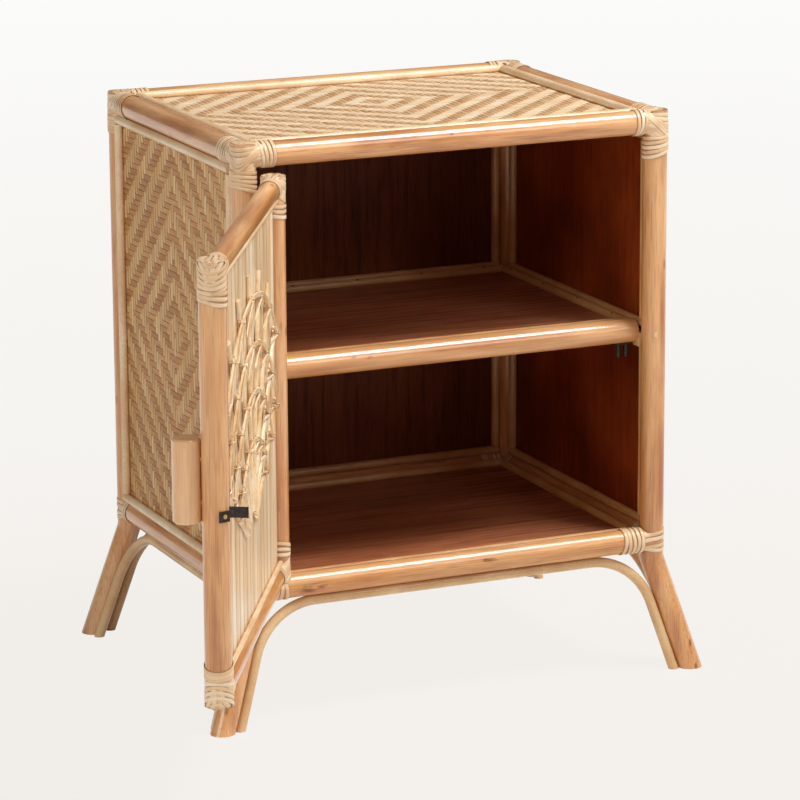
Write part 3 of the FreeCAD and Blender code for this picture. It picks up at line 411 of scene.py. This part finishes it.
POLE_X = pole_finish("pole_x", 0, marks=TOP_RAIL_KNOTS)
POLE_Y = pole_finish("pole_y", 1)
POLE_Z = pole_finish("pole_z", 2, marks=LEG_KNOTS)
POLE_DOOR = pole_finish("pole_door", 0, turn=-OPEN_ANGLE, stained=0.3)
POLE_HANDLE = pole_finish("pole_handle", 2, stained=0.2, tones=HANDLE_TONES)
POLE_SHELF = pole_finish("pole_shelf", 0, stained=0.35, marks=SHELF_RAIL_KNOTS)
POLE_LOW = pole_finish("pole_low", 0, stained=0.85, marks=LOW_RAIL_STAINS, coat=0.55)
# Three copies of one core cane. The arches under the rails have the plain one. The outer beads have a lighter copy
# as painted light. The beads inside have a darker, warmer copy as painted shade of the inside.
CORE = core_finish("core_cane", (212, 168, 118), (228, 190, 140), (238, 206, 160))
CORE_LIT = core_finish("core_lit", (230, 192, 148), (242, 212, 172), (248, 228, 194))
CORE_SHADED_INSIDE = core_finish("core_shaded_inside", (204, 148, 92), (220, 168, 110), (232, 186, 132))
# The peel strips carry more painted shade along their sides than the other strips.
PEEL = strip_finish("peel", (218, 174, 126), (238, 202, 160), (248, 224, 192),
                    line=(186, 126, 82), roughness=0.34, edge_shade=0.7)
# The same two strands in two copies: darker on the sides as painted shade, lighter on the top as painted light.
PALE_SIDE_SHADED = strip_finish("weave_pale", (202, 154, 98), (222, 178, 122), (240, 204, 152),
                         line=(162, 110, 62), roughness=0.5, lines=0.5, coat=0.05)
BROWN_SIDE_SHADED = strip_finish("weave_brown", (170, 114, 60), (200, 142, 84), (218, 164, 106),
                          line=(122, 72, 34), roughness=0.5, lines=0.7, coat=0.05)
PALE_TOP_LIT = strip_finish("weave_pale_top_lit", (224, 188, 146), (240, 212, 176), (248, 228, 198),
                        line=(198, 152, 108), roughness=0.45, lines=0.5, coat=0.1)
BROWN_TOP_LIT = strip_finish("weave_brown_top_lit", (194, 144, 94), (216, 172, 124), (230, 190, 146),
                         line=(150, 96, 54), roughness=0.45, lines=0.6, coat=0.1)
TWINE = strip_finish("twine", (214, 168, 122), (238, 206, 166), (250, 230, 202),
                     line=(164, 110, 68), roughness=0.3, lines=0.5, coat=0.8)
SLAT = slat_finish()
FAN = fan_finish()
# One stained plywood in three copies. The grain runs up the walls and the back and across the flat boards. The
# tones differ as painted light: the flat boards are lighter as lit from above, and the back is darker as in shade.
PLY_WALL = ply_finish("ply_wall", 2, (108, 42, 16), (142, 60, 22), (168, 80, 34),
                      grain_tone=(96, 34, 11), grained=0.25, drawn=1.2)
PLY_BACK_SHADED = ply_finish("ply_back_shaded", 2, (100, 46, 20), (116, 58, 27), (132, 72, 36),
                      grain_tone=(66, 26, 10), grained=0.55)
PLY_FLAT_LIT = ply_finish("ply_flat_lit", 0, (152, 88, 56), (182, 114, 78), (202, 138, 100),
                      grain_tone=(120, 62, 36))
BRONZE = metal_finish("bronzed_steel", (52, 42, 38), (150, 128, 108), metallic=0.7, roughness=0.34)
STEEL = metal_finish("bright_steel", (190, 186, 180), (236, 234, 230), metallic=1.0, roughness=0.22)
BRASS = metal_finish("brass", (186, 148, 98), (236, 208, 160), metallic=0.8, roughness=0.3)

SLOT_FINISH = {
    "pole": POLE_Z, "core_cane": CORE, "peel": PEEL, "weave": PALE_SIDE_SHADED,
    "slat": SLAT, "fan": FAN, "plywood": PLY_WALL, "hardware": BRONZE,
}
# Nodes that look different from the rest of their slot
OWN_FINISH = (
    (POLE_X, ("top_rail_front", "top_rail_back", "bottom_rail_back")),
    (POLE_Y, ("top_rail_left", "top_rail_right", "bottom_rail_left", "bottom_rail_right")),
    (POLE_DOOR, ("door_rail_top", "door_rail_bottom")),
    (POLE_HANDLE, ("handle",)),
    (POLE_SHELF, ("shelf_rail",)),
    (POLE_LOW, ("bottom_rail_front",)),
    (CORE_LIT, ("side_beads_left", "side_beads_right", "top_beads", "back_beads", "door_beads")),
    (CORE_SHADED_INSIDE, ("inner_beads", "shelf_beads", "bottom_beads")),
    (PLY_FLAT_LIT, ("top_panel", "bottom_panel", "shelf_panel")),
    (PLY_BACK_SHADED, ("back_panel",)),
    (STEEL, ("hinge_pins",)),
    (BRASS, ("door_screws", "cabinet_screws")),
)


def dress_nodes():
    """Gives every CAD node the finish of its slot, or its own."""
    finishes = {row["node"]: SLOT_FINISH[row["material_slot"]] for row in frame["record"]["subparts"]}
    for finish, names in OWN_FINISH:
        finishes.update(dict.fromkeys(names, finish))
    for name, finish in finishes.items():
        for slot in frame["nodes"][name].material_slots:
            slot.material = finish


# ---------------------------------------------------------------- strips in mesh code
def unit(vectors):
    return vectors / np.linalg.norm(vectors, axis=-1, keepdims=True)


def crowned(width, thickness):
    """Section of a flat strip with a rounded face: (sideways, outward) pairs, counter-clockwise."""
    w, t = width / 2, thickness
    return np.array([
        (-w, 0), (w, 0), (w, 0.3 * t), (0.6 * w, 0.85 * t), (0, t), (-0.6 * w, 0.85 * t), (-w, 0.3 * t),
    ])


def twin(width, thickness):
    """Section of two narrow strips side by side."""
    w, t = width / 2, thickness
    return np.array([
        (-w, 0), (w, 0), (w, 0.5 * t), (0.55 * w, t),
        (0.06 * w, 0.6 * t), (-0.06 * w, 0.6 * t), (-0.55 * w, t), (-w, 0.5 * t),
    ])


def round_section(radius, sides=8):
    turns = [2 * math.pi * k / sides for k in range(sides)]
    return np.array([(radius * math.cos(a), radius * math.sin(a)) for a in turns])


class Strips:
    """Closed strips gathered into one mesh."""

    def __init__(self):
        self.points = []
        self.uvs = []
        self.faces = []
        self.count = 0

    def add(self, path, outward, section, loop=False):
        path = np.asarray(path, float)
        ahead = np.roll(path, -1, 0) - np.roll(path, 1, 0)
        if not loop:
            ahead[0] = path[1] - path[0]
            ahead[-1] = path[-1] - path[-2]
        ahead = unit(ahead)
        side = unit(np.cross(np.broadcast_to(outward, path.shape), ahead))
        out = np.cross(ahead, side)
        rings = path[:, None] + side[:, None] * section[None, :, :1] + out[:, None] * section[None, :, 1:]
        run = np.concatenate([[0], np.cumsum(np.linalg.norm(np.diff(path, axis=0), axis=1))])
        u = run[:, None] + CHANCE.uniform(0, 4000) + 0 * section[None, :, 0]
        v = STRIP_V * section[None, :, 0] / abs(section[:, 0]).max() + 0 * run[:, None]
        first, n, m = self.count, len(path), len(section)
        for k in range(n if loop else n - 1):
            a, b = first + k * m, first + (k + 1) % n * m
            self.faces += [(a + i, a + (i + 1) % m, b + (i + 1) % m, b + i) for i in range(m)]
        if not loop:
            self.faces.append(tuple(range(first + m - 1, first - 1, -1)))
            self.faces.append(tuple(range(first + (n - 1) * m, first + n * m)))
        self.points.append(rings.reshape(-1, 3))
        self.uvs.append(np.stack([u, v], -1).reshape(-1, 2))
        self.count += n * m

    def piece(self, name, body, finish, replaces=(), place=None):
        """Makes the mesh object, lets it ride on its body and stand for CAD nodes."""
        points = np.concatenate(self.points)
        if place:
            points = place(points)
        mesh = bpy.data.meshes.new(name)
        mesh.from_pydata((points * MM).tolist(), [], self.faces)
        corners = np.empty(len(mesh.loops), np.int32)
        mesh.loops.foreach_get("vertex_index", corners)
        corner_uvs = np.concatenate(self.uvs)[corners].ravel().astype(np.float32)
        mesh.uv_layers.new().data.foreach_set("uv", corner_uvs)
        mesh.polygons.foreach_set("use_smooth", [True] * len(mesh.polygons))
        mesh.set_sharp_from_angle(angle=math.radians(50))
        mesh.materials.append(finish)
        obj = bpy.data.objects.new(name, mesh)
        bpy.context.scene.collection.objects.link(obj)
        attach(obj, body)
        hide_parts(*replaces)
        return obj


# ---------------------------------------------------------------- woven panels
def strand_path(ups, pitch, start, ends, first_number):
    """(place along, level) stations of one strand: flat where it floats, steep between."""
    slope = 0.16 * pitch
    stations = []
    first = 0
    for index in range(1, len(ups) + 1):
        if index == len(ups) or ups[index] != ups[first]:
            low = start + (first_number + first - 0.5) * pitch + slope
            high = start + (first_number + index - 0.5) * pitch - slope
            level = 1.0 if ups[first] else 0.0
            swell = 0.16 if index - first > 1 else 0.05
            middle_level = level + (swell if level else -swell)
            stations += [(low, level), ((low + high) / 2, middle_level), (high, level)]
            first = index
    return [(min(max(at, ends[0]), ends[1]), level) for at, level in stations]


def weave(name, node, axes, pitches, diamond, ups, finishes, sections):
    """Replaces a woven sheet by its strands: 3 over 3 twill in diamonds round one middle."""
    run_axis, cross_axis, out_axis, out_sign = axes
    low, high = box(node)
    base = low[out_axis] if out_sign > 0 else high[out_axis]
    outward = np.zeros(3)
    outward[out_axis] = out_sign
    lift = abs(high[out_axis] - low[out_axis]) - 2 * STRAND_T - 2 * STRAND_CLEAR

    def strands(axis, centre, pitch):
        """The axis that tells the strands of one direction apart, their grid and their numbers."""
        first = math.ceil((low[axis] - centre) / pitch)
        last = math.floor((high[axis] - centre) / pitch)
        return axis, centre, pitch, range(first, last + 1)

    pale_rows = strands(cross_axis, diamond[0], pitches[0])
    brown_rows = strands(run_axis, diamond[1], pitches[1])
    for tone, rows, crossed, finish, section, stands_for in (
            ("pale", pale_rows, brown_rows, finishes[0], sections[0], (node,)),
            ("brown", brown_rows, pale_rows, finishes[1], sections[1], ())):
        axis, centre, pitch, numbers = rows
        other_axis, other_centre, other_pitch, others = crossed
        ends = (low[other_axis] + STRAND_SHORT, high[other_axis] - STRAND_SHORT)
        strips = Strips()
        for number in numbers:
            flags = [((abs(number) + abs(other)) % TWILL in ups) == (tone == "pale") for other in others]
            where = centre + number * pitch + CHANCE.uniform(-0.12, 0.12)
            path = []
            for at, level in strand_path(flags, other_pitch, other_centre, ends, others[0]):
                if path and at - path[-1][other_axis] < 0.2:
                    continue
                point = np.zeros(3)
                point[axis] = where
                point[other_axis] = at
                point[out_axis] = base + out_sign * (STRAND_CLEAR + lift * level)
                path.append(point)
            strips.add(path, outward, section)
        strips.piece(f"{name}_{tone}", "cabinet", finish, stands_for)


def woven_panels():
    side_sections = (
        crowned(SIDE_PITCH_PALE - STRAND_GAP, STRAND_T), twin(SIDE_PITCH_BROWN - STRAND_GAP, STRAND_T),
    )
    top_sections = crowned(TOP_PITCH - STRAND_GAP, STRAND_T), twin(TOP_PITCH - STRAND_GAP, STRAND_T)
    for side, sign in (("left", -1), ("right", 1)):
        weave("weave_" + side, "side_weave_" + side, (2, 1, 0, sign), (SIDE_PITCH_PALE, SIDE_PITCH_BROWN),
              SIDE_DIAMOND, (1, 2, 3), (PALE_SIDE_SHADED, BROWN_SIDE_SHADED), side_sections)
    weave("weave_top", "top_weave", (0, 1, 2, 1), (TOP_PITCH, TOP_PITCH),
          TOP_DIAMOND, (3, 4, 5), (PALE_TOP_LIT, BROWN_TOP_LIT), top_sections)


# ---------------------------------------------------------------- peel bindings
class Joint:
    """Poles that meet at a corner. Each arm is (direction, radius, how far it goes past the corner)."""

    def __init__(self, corner, arms):
        self.corner = np.array(corner, float)
        self.arms = [(np.array(direction, float), radius, past) for direction, radius, past in arms]

    def distance(self, points):
        """Distance from the smoothed union of the poles."""
        total = 0.0
        for direction, radius, past in self.arms:
            ahead = points @ direction
            off_side = np.linalg.norm(points - ahead[..., None] * direction, axis=-1) - radius
            off_end = -past - ahead
            outside = np.hypot(np.maximum(off_side, 0), np.maximum(off_end, 0))
            total = total + np.exp(-(outside + np.minimum(np.maximum(off_side, off_end), 0)) / SOFTEN)
        return -SOFTEN * np.log(total)

    def slope(self, points):
        """Unit vectors straight away from the poles."""
        step = 0.02
        return unit(np.stack([
            self.distance(points + step * axis) - self.distance(points - step * axis) for axis in np.eye(3)
        ], -1))

    def settle(self, points, lift):
        """Moves points onto the poles, this far above their surface."""
        return points - (self.distance(points) - lift)[:, None] * self.slope(points)

    def band(self, strips, controls, lift, width):
        """A strip over the poles, pulled tight between its control points, which are set on the poles."""
        pins = np.array(controls, float)
        for _ in range(3):
            pins = self.settle(pins, lift)
        spans = [np.linspace(a, b, BAND_STEPS, endpoint=False) for a, b in zip(pins[:-1], pins[1:])]
        path = np.concatenate(spans + [pins[-1:]])
        pinned = np.arange(0, len(path), BAND_STEPS)
        for step in range(TAUT_STEPS):
            path[1:-1] = 0.25 * path[:-2] + 0.5 * path[1:-1] + 0.25 * path[2:]
            path = self.settle(path, lift)
            if step < TAUT_STEPS - FREE_STEPS:
                path[pinned] = pins
        strips.add(path + self.corner, self.slope(path), crowned(width, STRIP_T))

    def ring(self, strips, arm, reach, lift, lean, width):
        """One turn round an arm at this distance from the corner, further out on the side it leans to."""
        direction, radius, _ = self.arms[arm]
        helper = np.array((0, 0, 1.0)) if abs(direction[2]) < 0.5 else np.array((0, 1.0, 0))
        first = unit(np.cross(direction, helper))
        second = np.cross(direction, first)
        turns = np.linspace(0, 2 * math.pi, RING_STEPS, endpoint=False)
        outward = np.cos(turns)[:, None] * first + np.sin(turns)[:, None] * second
        waver = RING_WAVER * np.sin(3 * turns + CHANCE.uniform(0, 6))
        slide = reach + outward @ np.array(lean, float) + waver
        path = self.corner + outward * (radius + lift) + slide[:, None] * direction
        strips.add(path, outward, crowned(width, STRIP_T), loop=True)


def steps(start, step, count):
    return [start + step * number for number in range(count)]


def saddle(joint, strips, drop, rise, lift, width):
    """A strip from one rail round the outer side of a post to the other rail: drop is how far down
    the post it passes, rise how high it starts on the rails."""
    first, second, post = (direction for direction, _, _ in joint.arms)
    shoulder = post * (0.45 * drop - 0.55 * rise)
    joint.band(strips, (
        first * 17 - second * 9 - post * rise,
        first * 3 - second * 12 + shoulder,
        post * drop - (first + second) * 9,
        second * 3 - first * 12 + shoulder,
        second * 17 - first * 9 - post * rise,
    ), lift, width)


def corner_of(sx, sy, z, past):
    """The joint of an X rail, a Y rail and a post."""
    upright = (0, 0, -1) if z == TOP_Z else (0, 0, 1)
    return Joint((sx * HALF_X, sy * HALF_Y, z), [
        ((-sx, 0, 0), POLE_R, 0.0), ((0, -sy, 0), POLE_R, 0.0), (upright, POLE_R, past),
    ])


def top_corner(joint, strips, x_rings):
    """Saddles down the post, bands over the top, narrow saddles across both, and rings."""
    rail_x, rail_y, post = (direction for direction, _, _ in joint.arms)
    for drop, rise in zip(steps(-7.5, 5.3, 7), steps(9.5, -3.4, 7)):
        saddle(joint, strips, drop, rise, BASE_LIFT, 4.9)
    for place in (-8.5, -3.4, 1.7, 6.8):
        joint.band(strips, (
            rail_x * 16 + rail_y * place - post * 12,
            (rail_x + rail_y) * place * 0.8 - post * 14,
            rail_y * 16 + rail_x * place - post * 12,
        ), BASE_LIFT, 4.8)
    for drop, rise in zip(steps(8.0, 4.0, 3), steps(12.0, -2.2, 3)):
        saddle(joint, strips, drop, rise, OVER_LIFT, 3.5)
    for reach, share in zip(steps(16.2, 4.2, x_rings), steps(1, -0.25, x_rings)):
        joint.ring(strips, 0, reach, RING_LIFT, post * CHANCE.uniform(1.8, 2.6) * share, 3.9)
    for reach in steps(16.8, 5.0, 5):
        joint.ring(strips, 1, reach, RING_LIFT, post * CHANCE.uniform(0.3, 1.0), 4.4)
    for reach, lean in zip(steps(15.4, 4.2, 5), steps(1.0, 0.7, 5)):
        joint.ring(strips, 2, reach, RING_LIFT, rail_x * lean, 4.1)


def top_bindings():
    strips = Strips()
    for sx in (-1, 1):
        for sy in (-1, 1):
            top_corner(corner_of(sx, sy, TOP_Z, LEG_END), strips, 4 if sx < 0 else 3)
    strips.piece("top_wraps", "cabinet", PEEL, ("top_bindings",))


def bottom_corner(sx, sy, strips):
    """Bands round the outer side of the post from rail to rail, and rings on both rails."""
    joint = corner_of(sx, sy, BOTTOM_Z, 60.0)
    for height in (-9.7, -4.5, 3.6, 9.2):
        rise = CHANCE.uniform(1.4, 2.2)
        joint.band(strips, (
            (-sx * 17.0, sy * 12, height - rise),
            (sx * 2.0, sy * 12.5, height - 0.4 * rise),
            (sx * 9.0, sy * 9.0, height),
            (sx * 12.5, sy * 2.0, height + 0.4 * rise),
            (sx * 12, -sy * 17.0, height + rise),
        ), LOW_LIFT, 4.6)
    *inner, outer = steps(15.4, 5.0, 5)
    for reach in inner:
        joint.ring(strips, 0, reach, RING_LIFT, (0, 0, CHANCE.uniform(-0.5, 0.5)), 4.4)
    joint.ring(strips, 0, outer, RING_LIFT, (0, 0, -1.6), 4.4)
    for reach, lean in ((15.4, 0.6), (20.4, 0.4)):
        joint.ring(strips, 1, reach, RING_LIFT, (0, 0, lean), 4.4)


def bottom_bindings():
    strips = Strips()
    for sx in (-1, 1):
        for sy in (-1, 1):
            bottom_corner(sx, sy, strips)
    strips.piece("bottom_wraps", "cabinet", PEEL, ("bottom_bindings",))


def door_corner(stile_x, radius, z, inward, up, strips):
    """Chevrons and bands round the end of a stile, crossing bands, and rings on stile and rail."""
    rail, down, face = np.array((inward, 0, 0.0)), np.array((0, 0, -float(up))), np.array((0, 1.0, 0))
    joint = Joint((stile_x, DOOR_Y, z), [(rail, DOOR_RAIL_R, 0.0), (down, radius, DOOR_RAIL_R - 0.3)])
    for drop, rise in zip(steps(-6.0, 5.2, 6), steps(7.0, -2.8, 6)):
        shoulder = down * (0.5 * drop - 0.5 * rise)
        joint.band(strips, (
            rail * 16 + face * 7 - down * rise,
            rail * 2 + face * radius + shoulder,
            down * drop - rail * radius,
            rail * 2 - face * radius + shoulder,
            rail * 16 - face * 7 - down * rise,
        ), BASE_LIFT, 4.8)
    for place in (-8.0, -2.7, 2.7, 8.0):
        joint.band(strips, (
            rail * 14 + face * place * 0.8 - down * 8,
            face * place * 1.1 - down * 11,
            face * place * 0.8 - rail * radius * 0.9 - down * 4,
            face * place * 0.3 - rail * radius + down * 8,
        ), DOOR_END_LIFT, 5.0)
    for low in steps(13.0, -4.8, 5):
        joint.band(strips, (
            rail * 15 + face * 5 - down * 12,
            rail * 3 + face * radius + down * (low - 13),
            down * low - rail * radius,
            rail * 3 - face * radius + down * (low - 13),
            rail * 15 - face * 5 - down * 12,
        ), DOOR_OVER_LIFT, 3.8)
    for reach in steps(16.2, 5.0, 3):
        joint.ring(strips, 0, reach, DOOR_RING_LIFT, face * 0.6, 4.4)
    for reach, lean in ((18.0, 1.0), (22.2, 2.0), (26.8, 3.0)):
        joint.ring(strips, 1, reach, DOOR_RING_LIFT, face * lean if up > 0 else rail * 1.6 * lean, 4.2)


def door_bindings():
    strips = Strips()
    for stile, radius, inward in ((HINGE_STILE, HINGE_STILE_R, 1), (LATCH_STILE, LATCH_STILE_R, -1)):
        for z, up in ((DOOR_LOW_Z, -1), (DOOR_TOP_Z, 1)):
            door_corner(stile[0], radius, z, inward, up, strips)
    strips.piece("door_wraps", "door", PEEL, ("door_bindings",), opened)


# ---------------------------------------------------------------- door fan
def fan_angles():
    shares = [2 * number / (FAN_RIB_COUNT - 1) - 1 for number in range(FAN_RIB_COUNT)]
    return [math.radians(FAN_HALF_ANGLE * share) for share in shares]


def fan_radii():
    return [FAN_OUTER - (step + 0.5) * FAN_ARC_STEP for step in range(FAN_ARC_COUNT)]


def fan_place(reach, angle, lift, sideways=0.0):
    """The point of the fan at this reach from its centre, this far along its arc and out of the door."""
    out = np.array((math.sin(angle), 0, math.cos(angle)))
    side = np.array((math.cos(angle), 0, -math.sin(angle)))
    return np.array((FAN_MID_X, DOOR_Y + lift, DOOR_LOW_Z + FAN_BASE)) + out * reach + side * sideways


def scallops():
    """Thin reeds that hang in loops from one reed of the fan to the next, below each arc."""
    strips = Strips()
    for radius in fan_radii():
        for left, right in zip(fan_angles()[:-1], fan_angles()[1:]):
            if max(abs(math.sin(left)), abs(math.sin(right))) * radius > FAN_HALF_W:
                continue
            dip = SCALLOP_DIP * radius / FAN_OUTER * CHANCE.uniform(0.8, 1.1)
            for face in (-1, 1):
                path = []
                for share in np.linspace(0, 1, 15):
                    reach = radius - 3.0 - dip * (1 - abs(2 * share - 1) ** 1.15)
                    lift = FAN_FACE - 0.9 - 2.2 * math.sin(math.pi * share)
                    path.append(fan_place(reach, left + (right - left) * share, face * lift))
                strips.add(path, (0.0, face, 0.0), crowned(2.1, 1.5))
    strips.piece("fan_scallops", "door", FAN, (), opened)


def lash(strips, section, angle, radius, face):
    """Three turns round the reed just below the arc, and two slanting ones over both."""
    half_turn = np.linspace(0, math.pi, 9)
    for below in steps(radius - 4.2, -1.25, 3):
        axis = fan_place(below, angle, face * FAN_REED_Y)
        path = []
        for turn in half_turn:
            lift = FAN_REED_Y + FAN_REED_R * math.sin(turn)
            path.append(fan_place(below, angle, face * lift, FAN_REED_R * math.cos(turn)))
        strips.add(path, np.array(path) - axis, section)
    for slant in (-1, 1):
        path = []
        for turn in half_turn:
            rise = FAN_REED_Y + 6.0 * math.sin(turn) ** 0.5 + 0.25 * (slant + 1)
            reach = radius + 2.6 * slant * math.cos(turn)
            path.append(fan_place(reach, angle, face * rise, 4.4 * math.cos(turn)))
        strips.add(path, (0.0, face, 0.0), section)


def lashings():
    """Fine twine at every place where an arc lies over a reed."""
    strips = Strips()
    section = round_section(TWINE_R, 6)
    for angle in fan_angles():
        for radius in fan_radii():
            if abs(math.sin(angle)) * radius <= FAN_HALF_W:
                for face in (-1, 1):
                    lash(strips, section, angle, radius, face)
    strips.piece("fan_lashings", "door", TWINE, (), opened)


def pins():
    """Heads of the pins that hold the beads round the shelf."""
    strips = Strips()
    low, high = box("shelf_beads")
    side_x, back_y, z = high[0] - BEAD_R, high[1] - BEAD_R, high[2] - BEAD_R
    front_y = low[1] + 30
    runs = (
        ((-side_x, front_y, z), (-side_x, back_y - 25, z), (0.55, 0, 0.83)),
        ((side_x, front_y, z), (side_x, back_y - 25, z), (-0.55, 0, 0.83)),
        ((25 - side_x, back_y, z), (side_x - 25, back_y, z), (0, -0.55, 0.83)),
    )
    for start, end, outward in runs:
        start, end, outward = np.array(start), np.array(end), unit(np.array(outward))
        count = round(np.linalg.norm(end - start) / PIN_STEP)
        for number in range(count + 1):
            foot = start + (end - start) * number / count + outward * (BEAD_R - PIN_SUNK)
            strips.add([foot, foot + outward * PIN_HEAD_T], end - start, round_section(PIN_R, 10))
    strips.piece("shelf_pins", "cabinet", BRONZE)


# ---------------------------------------------------------------- room, light and camera
def floor_finish():
    """Pale floor. Rays that see it meet its own light, so that it stays pale and keeps a soft shadow."""
    f = Finish("floor", Roughness=0.9, Specular_IOR_Level=0.1)
    heading = math.radians(CAMERA_AZIMUTH)
    depth = f.add("ShaderNodeVectorMath", Vector=f.place)
    depth.operation = "DOT_PRODUCT"
    depth.inputs[1].default_value = (-math.sin(heading), math.cos(heading), 0)
    far = f.grey(depth.outputs["Value"], -0.5, 5.0)
    colour = f.ramp(far, (0.0, (243, 239, 235)), (0.28, (247, 245, 241)), (1.0, (255, 255, 254)))
    f.finish(colour)
    glow = f.add("ShaderNodeEmission", Color=colour, Strength=1.0)
    seen = f.add("ShaderNodeLightPath").outputs
    straight = f.maths("MAXIMUM", seen["Is Camera Ray"],
                       f.maths("MAXIMUM", seen["Is Glossy Ray"], seen["Is Transmission Ray"]))
    blend = f.add("ShaderNodeMixShader", Fac=f.maths("MULTIPLY", straight, FLOOR_GLOW))
    f.tree.links.new(f.shader.outputs["BSDF"], blend.inputs[1])
    f.tree.links.new(glow.outputs["Emission"], blend.inputs[2])
    f.tree.links.new(blend.outputs["Shader"], f.tree.nodes["Material Output"].inputs["Surface"])
    return f.material


def room():
    bpy.ops.mesh.primitive_plane_add(size=80)
    floor = bpy.context.object
    floor.name = "floor"
    floor.data.materials.append(floor_finish())

    world = bpy.data.worlds.new("room")
    bpy.context.scene.world = world
    world.use_nodes = True
    nodes, links = world.node_tree.nodes, world.node_tree.links
    sky = nodes["Background"]
    sky.inputs["Color"].default_value = (1, 1, 1, 1)
    sky.inputs["Strength"].default_value = SKY_STRENGTH
    seen = nodes.new("ShaderNodeBackground")
    seen.inputs["Color"].default_value = (1, 1, 1, 1)
    rays = nodes.new("ShaderNodeLightPath")
    either = nodes.new("ShaderNodeMath")
    either.operation = "MAXIMUM"
    blend = nodes.new("ShaderNodeMixShader")
    links.new(rays.outputs["Is Camera Ray"], either.inputs[0])
    links.new(rays.outputs["Is Transmission Ray"], either.inputs[1])
    links.new(either.outputs[0], blend.inputs[0])
    links.new(sky.outputs[0], blend.inputs[1])
    links.new(seen.outputs[0], blend.inputs[2])
    links.new(blend.outputs[0], nodes["World Output"].inputs["Surface"])


def softbox(name, place, aim, size, power):
    light = bpy.data.lights.new(name, "AREA")
    light.shape = "RECTANGLE"
    light.size, light.size_y = size
    light.energy = power
    lamp = bpy.data.objects.new(name, light)
    bpy.context.scene.collection.objects.link(lamp)
    lamp.location = place
    lamp.rotation_euler = (Vector(place) - Vector(aim)).to_track_quat("Z", "Y").to_euler()


def lights():
    for name, (place, aim, size, power) in SOFTBOXES.items():
        softbox(name, place, aim, size, power)


def camera():
    azimuth, elevation, roll = map(math.radians, (CAMERA_AZIMUTH, CAMERA_ELEVATION, CAMERA_ROLL))
    flat = math.cos(elevation)
    back = Vector((math.sin(azimuth) * flat, -math.cos(azimuth) * flat, math.sin(elevation)))
    level = (-back).cross(Vector((0, 0, 1))).normalized()
    upright = level.cross(-back)
    right = math.cos(roll) * level + math.sin(roll) * upright
    up = math.cos(roll) * upright - math.sin(roll) * level
    data = bpy.data.cameras.new("camera")
    data.lens = CAMERA_LENS
    data.clip_end = 200
    view = bpy.data.objects.new("camera", data)
    bpy.context.scene.collection.objects.link(view)
    turn = Matrix((right, up, back)).transposed().to_4x4()
    place = (Vector(CAMERA_TARGET) + back * CAMERA_DISTANCE) * MM
    view.matrix_world = Matrix.Translation(place) @ turn
    bpy.context.scene.camera = view
    bpy.context.scene.view_settings.view_transform = "Standard"


dress_nodes()
woven_panels()
top_bindings()
bottom_bindings()
door_bindings()
scallops()
lashings()
pins()
room()
lights()
camera()
